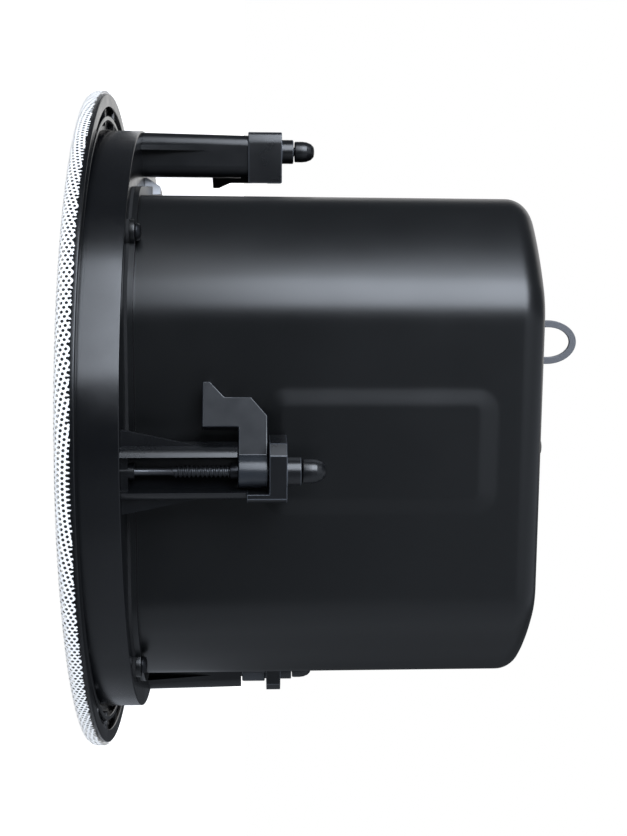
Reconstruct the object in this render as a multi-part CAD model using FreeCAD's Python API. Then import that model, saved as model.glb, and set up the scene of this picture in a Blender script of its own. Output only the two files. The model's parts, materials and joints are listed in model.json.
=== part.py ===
import FreeCAD
import Part
import math
import os

# In-ceiling loudspeaker: the grille lies on z = 0 and the back can points up +Z.
# Four clamps stand at +X, +Y, -X and -Y. All sizes are in millimetres and degrees.

# Grille: pressed steel dish
GRILLE_R = 125.0
GRILLE_SHEET = 1.0
GRILLE_DEPTH = 5.4
GRILLE_EDGE_R = 2.7
GRILLE_FIT = 0.2
GRILLE_FACE_GAP = 0.3

# Baffle: moulded flange, collar and rear wall
FLANGE_REACH = 13.3
FLANGE_PLATE = 2.2
FLANGE_BAND = 4.6
FLANGE_BAND_RISE = 2.9
RING_RIB_OFFSET = 4.5
RING_RIB_WIDTH = 1.6
RING_RIB_RISE = 2.4
RADIAL_RIB_COUNT = 24
RADIAL_RIB_WIDTH = 1.5
RADIAL_RIB_RISE = 2.2
RADIAL_RIB_GAP = 2.0
COLLAR_WALL = 3.0
COLLAR_REAR_Z = 18.5
COLLAR_EDGE = 0.8
REAR_WALL = 3.0
DRIVER_HOLE_R = 72.0

# Clamp channels
CLAMP_COUNT = 4
CLAMP_INSET = 7.3
CHANNEL_HALF_WIDTH = 8.5
CHANNEL_OUT = 6.8
CHANNEL_BACK = 9.9
CHANNEL_CORNER_R = 4.4
CHANNEL_TAPER = 0.8
CHANNEL_BORE_R = 5.7
CHANNEL_LENGTH = 36.6
CHANNEL_STOP_RISE = 3.0
CHANNEL_BOSS_R = 2.7
CHANNEL_BOSS_LENGTH = 4.0
GUSSET_BASE = 13.6
GUSSET_LENGTH = 24.3
GUSSET_PLATE = 1.8

# Channel end caps
CAP_OUT = 7.0
CAP_BACK = 11.9
CAP_HALF_WIDTH = 9.7
CAP_PLATE = 5.6
CAP_SKIRT = 3.6
CAP_CHAMFER_DOG_SIDE = 3.4
CAP_CHAMFER_STOP_SIDE = 1.4
CAP_BEVEL_DROP = 3.0
CAP_BEVEL_DEPTH = 0.7
CAP_SLEEVE_R = 4.5
CAP_SLEEVE_LENGTH = 4.5

# Clamp screws
SCREW_R = 1.95
SCREW_SHANK_R = 1.25
SCREW_SHANK_LENGTH = 12.0
SCREW_HEAD_R = 3.9
SCREW_HEAD_LENGTH = 2.6
SCREW_FIT = 0.05
SCREW_DRIVE_R = 1.6
TIP_R = 3.9
TIP_LENGTH = 7.6
TIP_DOME = 3.0
TIP_GAP = 0.4
TIP_SOCKET = 4.0

# Clamp dogs: an arm on a boss, with a jaw that reaches towards the flange
DOG_BOSS_R = 5.3
DOG_ARM_LENGTH = 9.2
DOG_PLATE = 5.0
DOG_NECK = 14.0
DOG_JAW_DROP = 11.6
DOG_REACH = 29.0
DOG_TOOTH = 2.4
DOG_TOOTH_DEPTH = 5.1
DOG_TOOTH_SLOPE = 4.6
DOG_SHOULDER = 6.2
DOG_SHOULDER_DROP = 5.2
DOG_CLEARANCE = 0.3
DOG_FOLD = 23.5
NUT_R = 2.7
NUT_LENGTH = 2.6

# Back can: a round drum with four flats that clear the clamps
CAN_INSET = 9.0
CAN_FLAT_GAP = 6.8
CAN_BLEND_R = 20.0
CAN_WALL = 1.6
CAN_LENGTH = 139.1
CAN_DRAFT = 0.2
CAN_EDGE_R = 8.8
CAN_LIP = 3.0
CAN_LIP_SHEET = 1.8
CAN_GASKET = 1.0
CAN_EAR_INSET = 5.1
CAN_EAR_HALF = 4.2
CAN_SCREW_R = 1.5
CAN_SCREW_HEAD_R = 3.0
CAN_SCREW_HEAD = 1.9
CAN_SCREW_GRIP = 2.4

# Raised panel on the can's +Y flat
PANEL_HALF_WIDTH = 21.7
PANEL_START_Z = 63.0
PANEL_END_Z = 141.5
PANEL_CORNER_R = 8.2
PANEL_RISE = 1.2
PANEL_SLOPE = 4.6
PANEL_SHIFT = 3.0

# Steel webs between the can's lip and the clamp channels
WEB_SHEET = 1.5
WEB_HEIGHT = 6.1
WEB_TOE = 0.9
WEB_SIDE_GAP = 0.2

# Safety eye, wiring cover and their fasteners on the can's rear
EYE_X = 36.3
EYE_Y = 54.6
EYE_R = 7.7
EYE_ARCH = 10.2
EYE_BAND = 2.4
EYE_SHEET = 1.8
EYE_HEIGHT = 16.3
EYE_FOOT = 12.0
RIVET_R = 2.6
RIVET_HEAD = 1.2
COVER_X = 0.0
COVER_Y = 33.0
COVER_HALF_X = 22.0
COVER_HALF_Y = 32.0
COVER_CORNER_R = 6.0
COVER_THICK = 2.0
COVER_EDGE = 0.8
COVER_SCREW_SPAN = 28.0
COVER_SCREW_R = 3.2
COVER_SCREW_HEAD = 1.8
TERMINAL_X = 30.0
TERMINAL_Y = 18.0
TERMINAL_Z = 14.0

# Woofer: basket, moving cone and magnet
BASKET_LAND = 8.0
BASKET_SHEET = 1.5
BASKET_FLOOR_EDGE = 1.0
BASKET_LEG_COUNT = 4
BASKET_LEG_WIDTH = 24.0
BASKET_DEPTH = 47.0
DRIVER_GASKET = 1.0
DRIVER_SCREW_R = 1.75
DRIVER_SCREW_HEAD_R = 3.4
DRIVER_SCREW_HEAD = 2.0
CONE_DEPTH = 30.0
CONE_PAPER = 0.9
SURROUND_ROLL_R = 5.0
SURROUND_SHEET = 0.8
SURROUND_SEAT = 0.6
SURROUND_LAND = 1.0
COIL_R = 15.0
COIL_WALL = 0.8
COIL_LENGTH = 26.0
SPIDER_INSET = 6.5
SPIDER_CLOTH = 0.7
SPIDER_FOLD = 1.2
SPIDER_FOLDS = 9
TOP_PLATE_R = 45.0
TOP_PLATE = 6.0
MAGNET_OVERHANG = 5.0
MAGNET_HOLE_GAP = 6.2
MAGNET = 14.0
YOKE = 6.0
POLE_GAP = 1.0
COIL_GAP = 1.1

# Tweeter on a post from the pole
POST_R = 4.0
TWEETER_R = 17.0
TWEETER_DEPTH = 13.0
TWEETER_FRONT_Z = 4.0
DOME_R = 9.5
DOME_RISE = 2.4

# Transformer and crossover on the can's rear wall
CORE_X = 40.0
CORE_Y = 34.0
CORE_Z = 28.0
CORE_OFFSET_Y = -44.0
WINDING_MARGIN = 7.0
WINDING_OUT = 6.0
BOARD_X = 64.0
BOARD_Y = 40.0
BOARD_SHEET = 1.6
BOARD_OFFSET_Y = 33.0
BOARD_INSET = 5.0
BOARD_POST_R = 3.0
INDUCTOR_R = 11.0
INDUCTOR_HEIGHT = 14.0
INDUCTOR_HOLE_R = 4.5
CAPACITOR_R = 6.5
CAPACITOR_LENGTH = 20.0
CAPACITOR_GAP = 3.0

V = FreeCAD.Vector
UP = V(0, 0, 1)
ORIGIN = V(0, 0, 0)

# Places worked out from the sizes above
BAFFLE_R = GRILLE_R - GRILLE_SHEET - GRILLE_FIT
COLLAR_R = BAFFLE_R - FLANGE_REACH
RING_RIB_R = COLLAR_R + RING_RIB_OFFSET
CLAMP_R = COLLAR_R - CLAMP_INSET
CAN_R = COLLAR_R - CAN_INSET
CAN_FLAT = CLAMP_R - CHANNEL_BACK - CAN_FLAT_GAP
CAN_EAR_R = COLLAR_R - CAN_EAR_INSET
FLANGE_FRONT_Z = GRILLE_SHEET + GRILLE_FACE_GAP
FLANGE_BACK_Z = FLANGE_FRONT_Z + FLANGE_PLATE
WALL_FRONT_Z = COLLAR_REAR_Z - REAR_WALL
CHANNEL_END_Z = COLLAR_REAR_Z + CHANNEL_LENGTH
SKIRT_Z = CHANNEL_END_Z + CHANNEL_STOP_RISE
DOG_BASE_Z = CHANNEL_END_Z + DOG_CLEARANCE
DOG_TOP_Z = DOG_BASE_Z + DOG_ARM_LENGTH
CAP_Z = DOG_TOP_Z + 2 * DOG_CLEARANCE
CAP_END_Z = CAP_Z + CAP_PLATE
SLEEVE_END_Z = CAP_END_Z + CAP_SLEEVE_LENGTH
TIP_Z = SLEEVE_END_Z + TIP_GAP
CAN_LIP_Z = COLLAR_REAR_Z + CAN_GASKET
CAN_BODY_Z = CAN_LIP_Z + CAN_LIP_SHEET
CAN_TAPER = math.tan(math.radians(CAN_DRAFT))
CAN_REAR_Z = COLLAR_REAR_Z + CAN_LENGTH
CAN_INNER_REAR_Z = CAN_REAR_Z - CAN_WALL
BASKET_FRONT_Z = WALL_FRONT_Z - DRIVER_GASKET - BASKET_SHEET
TOP_PLATE_Z = BASKET_FRONT_Z + BASKET_DEPTH + BASKET_SHEET
MAGNET_Z = TOP_PLATE_Z + TOP_PLATE
YOKE_Z = MAGNET_Z + MAGNET
BASKET_R = DRIVER_HOLE_R + BASKET_LAND
BASKET_RIM_R = DRIVER_HOLE_R - 2 * BASKET_SHEET
BASKET_FLOOR_R = TOP_PLATE_R + BASKET_FLOOR_EDGE
DRIVER_SCREW_CIRCLE = DRIVER_HOLE_R + BASKET_LAND / 2
CONE_R = BASKET_RIM_R + SURROUND_LAND - 2 * SURROUND_ROLL_R
CONE_NECK_R = COIL_R + COIL_WALL
SPIDER_R = BASKET_FLOOR_R - SPIDER_INSET
SPIDER_Z = BASKET_FRONT_Z + BASKET_DEPTH - 4 * BASKET_SHEET
MAGNET_R = TOP_PLATE_R + MAGNET_OVERHANG
MAGNET_HOLE_R = CONE_NECK_R + MAGNET_HOLE_GAP
YOKE_R = TOP_PLATE_R
POLE_R = COIL_R - POLE_GAP


def revolve(points):
    """Solid of revolution about Z from (radius, z) points."""
    corners = [V(r, 0, z) for r, z in points]
    face = Part.Face(Part.makePolygon(corners + corners[:1]))
    return face.revolve(ORIGIN, UP, 360)


def tube(outer, inner, z0, z1):
    """Round tube standing on Z."""
    return revolve([(inner, z0), (outer, z0), (outer, z1), (inner, z1)])


def rod(radius, z0, z1, x=0.0, y=0.0):
    """Round bar standing on Z at (x, y)."""
    return Part.makeCylinder(radius, z1 - z0, V(x, y, z0), UP)


def block(x0, x1, y0, y1, z0, z1):
    """Box between two corners."""
    return Part.makeBox(x1 - x0, y1 - y0, z1 - z0, V(x0, y0, z0))


def turned(shape, angle):
    """Copy of a shape turned about the loudspeaker's axis."""
    copy = shape.copy()
    copy.rotate(ORIGIN, UP, angle)
    return copy


def on_circle(shape, count, start=0.0):
    """Copies of a shape spaced evenly about the axis."""
    return [turned(shape, start + 360.0 * k / count) for k in range(count)]


def rounded_wire(x0, x1, y0, y1, radius, place):
    """Closed rounded rectangle, with place turning (u, v) into a point."""
    quarter = radius * (1 - math.sqrt(0.5))
    runs = [((x0 + radius, y0), (x1 - radius, y0), (x1 - quarter, y0 + quarter)),
            ((x1, y0 + radius), (x1, y1 - radius), (x1 - quarter, y1 - quarter)),
            ((x1 - radius, y1), (x0 + radius, y1), (x0 + quarter, y1 - quarter)),
            ((x0, y1 - radius), (x0, y0 + radius), (x0 + quarter, y0 + quarter))]
    edges = []
    for index, (start, end, middle) in enumerate(runs):
        following = runs[(index + 1) % len(runs)][0]
        edges.append(Part.LineSegment(place(*start), place(*end)).toShape())
        edges.append(Part.Arc(place(*end), place(*middle), place(*following)).toShape())
    return Part.Wire(edges)


def drum_wire(radius, flat, blend, z):
    """Closed circle with four flats, blended by arcs."""
    half = math.sqrt((radius - blend) ** 2 - (flat - blend) ** 2)
    meet = math.atan2(half, flat - blend)
    centre = V(flat - blend, half, z)
    bisector = meet / 2
    edges = []
    for k in range(4):
        corner = [Part.LineSegment(V(flat, -half, z), V(flat, half, z)).toShape(),
                  Part.Arc(V(flat, half, z),
                           centre + V(blend * math.cos(bisector), blend * math.sin(bisector), 0),
                           V(radius * math.cos(meet), radius * math.sin(meet), z)).toShape(),
                  Part.Arc(V(radius * math.cos(meet), radius * math.sin(meet), z),
                           V(radius * math.sqrt(0.5), radius * math.sqrt(0.5), z),
                           V(radius * math.sin(meet), radius * math.cos(meet), z)).toShape(),
                  Part.Arc(V(radius * math.sin(meet), radius * math.cos(meet), z),
                           V(centre.y + blend * math.sin(bisector),
                             centre.x + blend * math.cos(bisector), z),
                           V(half, flat, z)).toShape()]
        edges += [turned(edge, 90.0 * k) for edge in corner]
    return Part.Wire(edges)


def drum(inset, z0, z1, edge_radius):
    """Tapered flatted drum, set in from the can's outside, with a rounded rear edge."""
    wires = []
    for z in (z0, z1):
        shrink = inset + CAN_TAPER * (z - CAN_BODY_Z)
        wires.append(drum_wire(CAN_R - shrink, CAN_FLAT - shrink, CAN_BLEND_R, z))
    body = Part.makeLoft(wires, True, True)
    rear = [edge for edge in body.Edges if edge.BoundBox.ZMin > z1 - 0.01]
    return body.makeFillet(edge_radius, rear)


def make_grille():
    """Pressed dish with a rounded rim."""
    outer = Part.makeCylinder(GRILLE_R, GRILLE_DEPTH)
    front = [edge for edge in outer.Edges if edge.BoundBox.ZMax < 0.01]
    outer = outer.makeFillet(GRILLE_EDGE_R, front)
    inner = Part.makeCylinder(GRILLE_R - GRILLE_SHEET, GRILLE_DEPTH, V(0, 0, GRILLE_SHEET))
    front = [edge for edge in inner.Edges if edge.BoundBox.ZMax < GRILLE_SHEET + 0.01]
    inner = inner.makeFillet(GRILLE_EDGE_R - GRILLE_SHEET, front)
    return outer.cut(inner)


def make_baffle():
    """Flange with a ribbed back, a collar and the rear wall that carries everything."""
    collar_in = COLLAR_R - COLLAR_WALL
    bevel = GRILLE_EDGE_R
    band_z = FLANGE_BACK_Z + FLANGE_BAND_RISE
    body = revolve([
        (collar_in, FLANGE_FRONT_Z), (BAFFLE_R - bevel, FLANGE_FRONT_Z),
        (BAFFLE_R, FLANGE_FRONT_Z + bevel), (BAFFLE_R, band_z),
        (BAFFLE_R - FLANGE_BAND, band_z), (BAFFLE_R - FLANGE_BAND, FLANGE_BACK_Z),
        (COLLAR_R, FLANGE_BACK_Z), (COLLAR_R, COLLAR_REAR_Z - COLLAR_EDGE),
        (COLLAR_R - COLLAR_EDGE, COLLAR_REAR_Z), (DRIVER_HOLE_R, COLLAR_REAR_Z),
        (DRIVER_HOLE_R, WALL_FRONT_Z), (collar_in, WALL_FRONT_Z)])
    ring = tube(RING_RIB_R + RING_RIB_WIDTH / 2, RING_RIB_R - RING_RIB_WIDTH / 2,
                FLANGE_BACK_Z - FLANGE_PLATE / 2, FLANGE_BACK_Z + RING_RIB_RISE)
    rib = block(COLLAR_R + RADIAL_RIB_GAP, BAFFLE_R - FLANGE_BAND / 2,
                -RADIAL_RIB_WIDTH / 2, RADIAL_RIB_WIDTH / 2,
                FLANGE_BACK_Z - FLANGE_PLATE / 2, FLANGE_BACK_Z + RADIAL_RIB_RISE)
    body = body.fuse([ring] + on_circle(rib, RADIAL_RIB_COUNT, 180.0 / RADIAL_RIB_COUNT))
    holes = on_circle(rod(SCREW_R + SCREW_FIT, WALL_FRONT_Z, COLLAR_REAR_Z, CLAMP_R), CLAMP_COUNT)
    holes += on_circle(rod(CAN_SCREW_R, COLLAR_REAR_Z - CAN_SCREW_GRIP, COLLAR_REAR_Z, CAN_EAR_R),
                       CLAMP_COUNT, 45.0)
    holes += on_circle(rod(DRIVER_SCREW_R, WALL_FRONT_Z, WALL_FRONT_Z + REAR_WALL * 0.8,
                           DRIVER_SCREW_CIRCLE), CLAMP_COUNT, 45.0)
    return body.cut(holes).removeSplitter()


def make_channel():
    """Open channel on the +X side, with side gussets and a stop wall for the dog."""
    def section(z):
        return lambda u, v: V(CLAMP_R + u, v, z)

    ends = [rounded_wire(-CHANNEL_BACK, out, -CHANNEL_HALF_WIDTH, CHANNEL_HALF_WIDTH, CHANNEL_CORNER_R, section(z))
            for out, z in ((CHANNEL_OUT, COLLAR_REAR_Z), (CHANNEL_OUT - CHANNEL_TAPER, SKIRT_Z))]
    body = Part.makeLoft(ends, True, True)
    body = body.cut(block(CLAMP_R - CHANNEL_BACK - 1, CLAMP_R + CHANNEL_OUT + 1,
                          -CHANNEL_HALF_WIDTH - 1, CHANNEL_BORE_R, CHANNEL_END_Z, SKIRT_Z + 1))
    edge = CHANNEL_HALF_WIDTH
    for side in (-1, 1):
        corners = [V(CLAMP_R, side * CHANNEL_BORE_R * 1.2, COLLAR_REAR_Z),
                   V(CLAMP_R, side * GUSSET_BASE, COLLAR_REAR_Z),
                   V(CLAMP_R, side * edge, COLLAR_REAR_Z + GUSSET_LENGTH),
                   V(CLAMP_R, side * CHANNEL_BORE_R * 1.2, COLLAR_REAR_Z + GUSSET_LENGTH)]
        plate = Part.Face(Part.makePolygon(corners + corners[:1])).extrude(V(GUSSET_PLATE, 0, 0))
        body = body.fuse(plate)
    bore = rod(CHANNEL_BORE_R, COLLAR_REAR_Z, SKIRT_Z + 1, CLAMP_R)
    mouth = block(CLAMP_R, CLAMP_R + CHANNEL_OUT + 1, -CHANNEL_BORE_R, CHANNEL_BORE_R,
                  COLLAR_REAR_Z, SKIRT_Z + 1)
    floor = block(CLAMP_R - CHANNEL_BORE_R - 1, CLAMP_R + CHANNEL_OUT - CHANNEL_CORNER_R,
                  -CHANNEL_BORE_R - 1, CHANNEL_BORE_R + 1,
                  COLLAR_REAR_Z, COLLAR_REAR_Z + CHANNEL_BOSS_LENGTH / 2)
    boss = rod(CHANNEL_BOSS_R, COLLAR_REAR_Z, COLLAR_REAR_Z + CHANNEL_BOSS_LENGTH, CLAMP_R)
    body = body.cut([bore, mouth]).fuse([floor, boss])
    body = body.cut(rod(SCREW_R + SCREW_FIT, COLLAR_REAR_Z - 1, CHANNEL_END_Z, CLAMP_R))
    return body.removeSplitter()


def make_cap():
    """End cap on the +X side: a plate, a skirt on the stop side and a sleeve."""
    inner, outer, half = CLAMP_R - CAP_BACK, CLAMP_R + CAP_OUT, CAP_HALF_WIDTH
    dog, stop = CAP_CHAMFER_DOG_SIDE, CAP_CHAMFER_STOP_SIDE
    shoulder = half - CAP_BEVEL_DEPTH
    corners = [V(inner, -half, SKIRT_Z), V(outer - dog, -half, SKIRT_Z), V(outer, dog - half, SKIRT_Z),
               V(outer, shoulder - stop, SKIRT_Z), V(outer - stop, shoulder, SKIRT_Z),
               V(outer - stop - CAP_BEVEL_DROP, half, SKIRT_Z), V(inner, half, SKIRT_Z)]
    body = Part.Face(Part.makePolygon(corners + corners[:1])).extrude(V(0, 0, CAP_END_Z - SKIRT_Z))
    body = body.cut(block(inner - 1, outer + 1, -half - 1, half - CAP_SKIRT, SKIRT_Z - 1, CAP_Z))
    body = body.fuse(rod(CAP_SLEEVE_R, CAP_Z, SLEEVE_END_Z, CLAMP_R))
    return body.cut(rod(SCREW_R + SCREW_FIT, CAP_Z - 1, SLEEVE_END_Z + 1, CLAMP_R)).removeSplitter()


def make_screw():
    """Clamp screw on the +X side, from its head under the baffle to the tip."""
    head_z = WALL_FRONT_Z - SCREW_FIT
    thread_z = COLLAR_REAR_Z + CHANNEL_BOSS_LENGTH + SCREW_SHANK_LENGTH
    body = revolve([
        (0, head_z - SCREW_HEAD_LENGTH), (SCREW_HEAD_R * 0.8, head_z - SCREW_HEAD_LENGTH),
        (SCREW_HEAD_R, head_z - SCREW_HEAD_LENGTH * 0.6), (SCREW_HEAD_R, head_z), (SCREW_R, head_z),
        (SCREW_R, COLLAR_REAR_Z + CHANNEL_BOSS_LENGTH),
        (SCREW_SHANK_R, COLLAR_REAR_Z + CHANNEL_BOSS_LENGTH), (SCREW_SHANK_R, thread_z),
        (SCREW_R, thread_z + SCREW_R - SCREW_SHANK_R),
        (SCREW_R, TIP_Z + TIP_SOCKET), (0, TIP_Z + TIP_SOCKET)])
    body.translate(V(CLAMP_R, 0, 0))
    slot_z = head_z - SCREW_HEAD_LENGTH
    slots = [block(CLAMP_R - SCREW_DRIVE_R, CLAMP_R + SCREW_DRIVE_R, -0.4, 0.4, slot_z - 1, slot_z + 1.2),
             block(CLAMP_R - 0.4, CLAMP_R + 0.4, -SCREW_DRIVE_R, SCREW_DRIVE_R, slot_z - 1, slot_z + 1.2)]
    return body.cut(slots)


def make_tip():
    """Domed end piece fixed on the screw above the sleeve."""
    end = TIP_Z + TIP_LENGTH
    body = revolve([(SCREW_R, TIP_Z), (TIP_R, TIP_Z), (TIP_R, end - TIP_DOME),
                    (TIP_R * 0.86, end - TIP_DOME * 0.4), (TIP_R * 0.55, end), (0, end),
                    (0, TIP_Z + TIP_SOCKET), (SCREW_R, TIP_Z + TIP_SOCKET)])
    body.translate(V(CLAMP_R, 0, 0))
    return body


def make_dog():
    """Clamp dog on the +X side, folded in beside the channel."""
    z0, z1 = DOG_BASE_Z, DOG_TOP_Z
    jaw_z = z0 - DOG_JAW_DROP
    back = DOG_REACH - DOG_TOOTH_DEPTH
    profile = [(0, z0), (DOG_NECK, z0), (DOG_NECK, jaw_z), (DOG_REACH, jaw_z),
               (DOG_REACH, jaw_z + DOG_TOOTH), (back, jaw_z + DOG_TOOTH + DOG_TOOTH_SLOPE),
               (back, z1 - DOG_SHOULDER_DROP), (back - DOG_SHOULDER, z1), (0, z1)]
    corners = [V(along, -DOG_PLATE / 2, z) for along, z in profile]
    arm = Part.Face(Part.makePolygon(corners + corners[:1])).extrude(V(0, DOG_PLATE, 0))
    body = arm.fuse(rod(DOG_BOSS_R, z0, z1)).cut(rod(SCREW_R + SCREW_FIT, z0 - 1, z1 + 1)).removeSplitter()
    body.rotate(ORIGIN, UP, -90.0 - DOG_FOLD)
    body.translate(V(CLAMP_R, 0, 0))
    return body


def make_nut():
    """Flanged end of the dog's threaded insert."""
    body = tube(NUT_R, SCREW_R + SCREW_FIT, DOG_BASE_Z - NUT_LENGTH, DOG_BASE_Z)
    body.translate(V(CLAMP_R, 0, 0))
    return body


def make_panel():
    """Raised panel on the +Y flat, with sloped borders."""
    middle_z = (PANEL_START_Z + PANEL_END_Z) / 2
    flat = CAN_FLAT - CAN_TAPER * (middle_z - CAN_BODY_Z)
    half = PANEL_HALF_WIDTH
    wires = []
    for inset, y in ((0.0, flat - CAN_WALL * 0.75), (0.0, flat), (PANEL_SLOPE, flat + PANEL_RISE)):
        wires.append(rounded_wire(PANEL_SHIFT - half + inset, PANEL_SHIFT + half - inset,
                                  PANEL_START_Z + inset, PANEL_END_Z - inset,
                                  PANEL_CORNER_R - inset / 2, lambda u, v, y=y: V(u, y, v)))
    return Part.makeLoft(wires[:2], True, True).fuse(Part.makeLoft(wires[1:], True, True))


def lip_sheet(z0, z1):
    """Flat ring round the can's mouth, with a screw ear at each corner."""
    rise = V(0, 0, z1 - z0)
    ring = Part.Face(drum_wire(CAN_R + CAN_LIP, CAN_FLAT + CAN_LIP, CAN_BLEND_R, z0)).extrude(rise)
    mouth = Part.Face(drum_wire(CAN_R - CAN_WALL, CAN_FLAT - CAN_WALL, CAN_BLEND_R, z0)).extrude(rise)
    ear = block(CAN_R, CAN_EAR_R, -CAN_EAR_HALF, CAN_EAR_HALF, z0, z1)
    ears = on_circle(ear.fuse(rod(CAN_EAR_HALF, z0, z1, CAN_EAR_R)), CLAMP_COUNT, 45.0)
    holes = on_circle(rod(CAN_SCREW_R, z0, z1, CAN_EAR_R), CLAMP_COUNT, 45.0)
    return ring.fuse(ears).cut([mouth] + holes).removeSplitter()


def make_can():
    """Hollow back can with its lip and raised panel."""
    shell = drum(0.0, CAN_LIP_Z, CAN_REAR_Z, CAN_EDGE_R).fuse(make_panel())
    cavity = drum(CAN_WALL, CAN_LIP_Z - 1, CAN_INNER_REAR_Z, CAN_EDGE_R - CAN_WALL)
    return shell.cut(cavity).fuse(lip_sheet(CAN_LIP_Z, CAN_BODY_Z)).removeSplitter()


def make_can_screw():
    """Pan-head screw through a can ear."""
    head = revolve([(0, CAN_BODY_Z), (CAN_SCREW_HEAD_R, CAN_BODY_Z),
                    (CAN_SCREW_HEAD_R, CAN_BODY_Z + CAN_SCREW_HEAD * 0.5),
                    (CAN_SCREW_HEAD_R * 0.7, CAN_BODY_Z + CAN_SCREW_HEAD),
                    (0, CAN_BODY_Z + CAN_SCREW_HEAD)])
    shank = rod(CAN_SCREW_R, COLLAR_REAR_Z - CAN_SCREW_GRIP, CAN_BODY_Z)
    body = head.fuse(shank).removeSplitter()
    body.translate(V(CAN_EAR_R, 0, 0))
    return body


def make_web():
    """Steel web that braces the can's lip beside a clamp channel."""
    lip_r = CAN_FLAT + CAN_LIP + WEB_SIDE_GAP
    wall_r = CAN_FLAT + WEB_SIDE_GAP
    toe_r = CLAMP_R - CHANNEL_BACK - WEB_SIDE_GAP
    top_z = COLLAR_REAR_Z + WEB_HEIGHT
    step_z = CAN_BODY_Z + WEB_SIDE_GAP
    profile = [(lip_r, COLLAR_REAR_Z), (toe_r, COLLAR_REAR_Z), (toe_r, COLLAR_REAR_Z + WEB_TOE),
               (lip_r, top_z), (wall_r, top_z), (wall_r, step_z), (lip_r, step_z)]
    corners = [V(r, -WEB_SHEET / 2, z) for r, z in profile]
    return Part.Face(Part.makePolygon(corners + corners[:1])).extrude(V(0, WEB_SHEET, 0))


def oval(half, rise, sheet, centre):
    """Upright oval plate, standing across Y."""
    top, side = centre + V(0, 0, rise), centre + V(half, 0, 0)
    far, near = (top, side) if rise > half else (side, top)
    face = Part.Face(Part.Wire(Part.Ellipse(far, near, centre).toShape()))
    face.translate(V(0, -sheet / 2, 0))
    return face.extrude(V(0, sheet, 0))


def make_eye():
    """Stamped safety eye: an upright arch on a riveted foot."""
    centre = V(EYE_X, EYE_Y, CAN_REAR_Z + EYE_HEIGHT - EYE_ARCH)
    arch = oval(EYE_R, EYE_ARCH, EYE_SHEET, centre)
    neck = block(EYE_X - EYE_R, EYE_X + EYE_R, EYE_Y - EYE_SHEET / 2, EYE_Y + EYE_SHEET / 2,
                 CAN_REAR_Z, centre.z)
    foot = block(EYE_X - EYE_R, EYE_X + EYE_R, EYE_Y - EYE_FOOT, EYE_Y + EYE_SHEET / 2,
                 CAN_REAR_Z, CAN_REAR_Z + EYE_SHEET)
    below = block(EYE_X - EYE_R, EYE_X + EYE_R, EYE_Y - EYE_FOOT, EYE_Y + EYE_FOOT,
                  CAN_REAR_Z - EYE_HEIGHT, CAN_REAR_Z)
    under = block(EYE_X - EYE_R, EYE_X + EYE_R, EYE_Y - EYE_FOOT, EYE_Y + EYE_FOOT,
                  CAN_REAR_Z - EYE_HEIGHT, CAN_REAR_Z + 1.5 * EYE_SHEET)
    hole = oval(EYE_R - EYE_BAND, EYE_ARCH - EYE_BAND, 3 * EYE_SHEET, centre).cut(under)
    return arch.cut(below).fuse([neck, foot]).cut(hole).removeSplitter()


def make_rivets():
    """Two rivet heads on the eye's foot."""
    y = EYE_Y - EYE_FOOT / 2 - EYE_SHEET / 4
    z = CAN_REAR_Z + EYE_SHEET
    return [rod(RIVET_R, z, z + RIVET_HEAD, EYE_X + side * EYE_R / 2, y) for side in (-1, 1)]


def make_cover():
    """Wiring cover on the can's rear."""
    outline = rounded_wire(COVER_X - COVER_HALF_X, COVER_X + COVER_HALF_X, COVER_Y - COVER_HALF_Y,
                           COVER_Y + COVER_HALF_Y, COVER_CORNER_R, lambda u, v: V(u, v, CAN_REAR_Z))
    body = Part.Face(outline).extrude(V(0, 0, COVER_THICK))
    top = [edge for edge in body.Edges if edge.BoundBox.ZMin > CAN_REAR_Z + COVER_THICK - 0.01]
    return body.makeChamfer(COVER_EDGE, top)


def make_cover_screws():
    """Two screw heads on the wiring cover."""
    z = CAN_REAR_Z + COVER_THICK
    return [rod(COVER_SCREW_R, z, z + COVER_SCREW_HEAD, COVER_X, COVER_Y + side * COVER_SCREW_SPAN)
            for side in (-1, 1)]


def make_basket():
    """Stamped woofer frame: a mounting ring, legs and a floor for the magnet."""
    z0, z1 = BASKET_FRONT_Z, BASKET_FRONT_Z + BASKET_DEPTH
    outer = revolve([(0, z0), (BASKET_R, z0), (BASKET_R, z0 + BASKET_SHEET),
                     (BASKET_RIM_R + BASKET_SHEET, z0 + BASKET_SHEET),
                     (BASKET_FLOOR_R, z1 + BASKET_SHEET), (0, z1 + BASKET_SHEET)])
    inner = revolve([(0, z0 - 1), (BASKET_RIM_R, z0 - 1), (BASKET_RIM_R, z0),
                     (BASKET_FLOOR_R - BASKET_SHEET, z1), (0, z1)])
    floor_hole = rod(MAGNET_HOLE_R, z0, z1 + 2 * BASKET_SHEET)
    leg = block(0, BASKET_R, -BASKET_LEG_WIDTH / 2, BASKET_LEG_WIDTH / 2, z0, z1)
    windows = rod(BASKET_R, z0 + 6 * BASKET_SHEET, SPIDER_Z).cut(on_circle(leg, BASKET_LEG_COUNT))
    hole = rod(DRIVER_SCREW_R, z0 - 1, z0 + BASKET_SHEET + 1, DRIVER_SCREW_CIRCLE)
    holes = on_circle(hole, CLAMP_COUNT, 45.0)
    return outer.cut([inner, floor_hole, windows] + holes).removeSplitter()


def make_driver_gasket():
    """Foam ring between the basket and the baffle."""
    z1 = WALL_FRONT_Z
    ring = tube(BASKET_R, DRIVER_HOLE_R, z1 - DRIVER_GASKET, z1)
    return ring.cut(on_circle(rod(DRIVER_SCREW_R, z1 - 2, z1, DRIVER_SCREW_CIRCLE), CLAMP_COUNT, 45.0))


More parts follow.
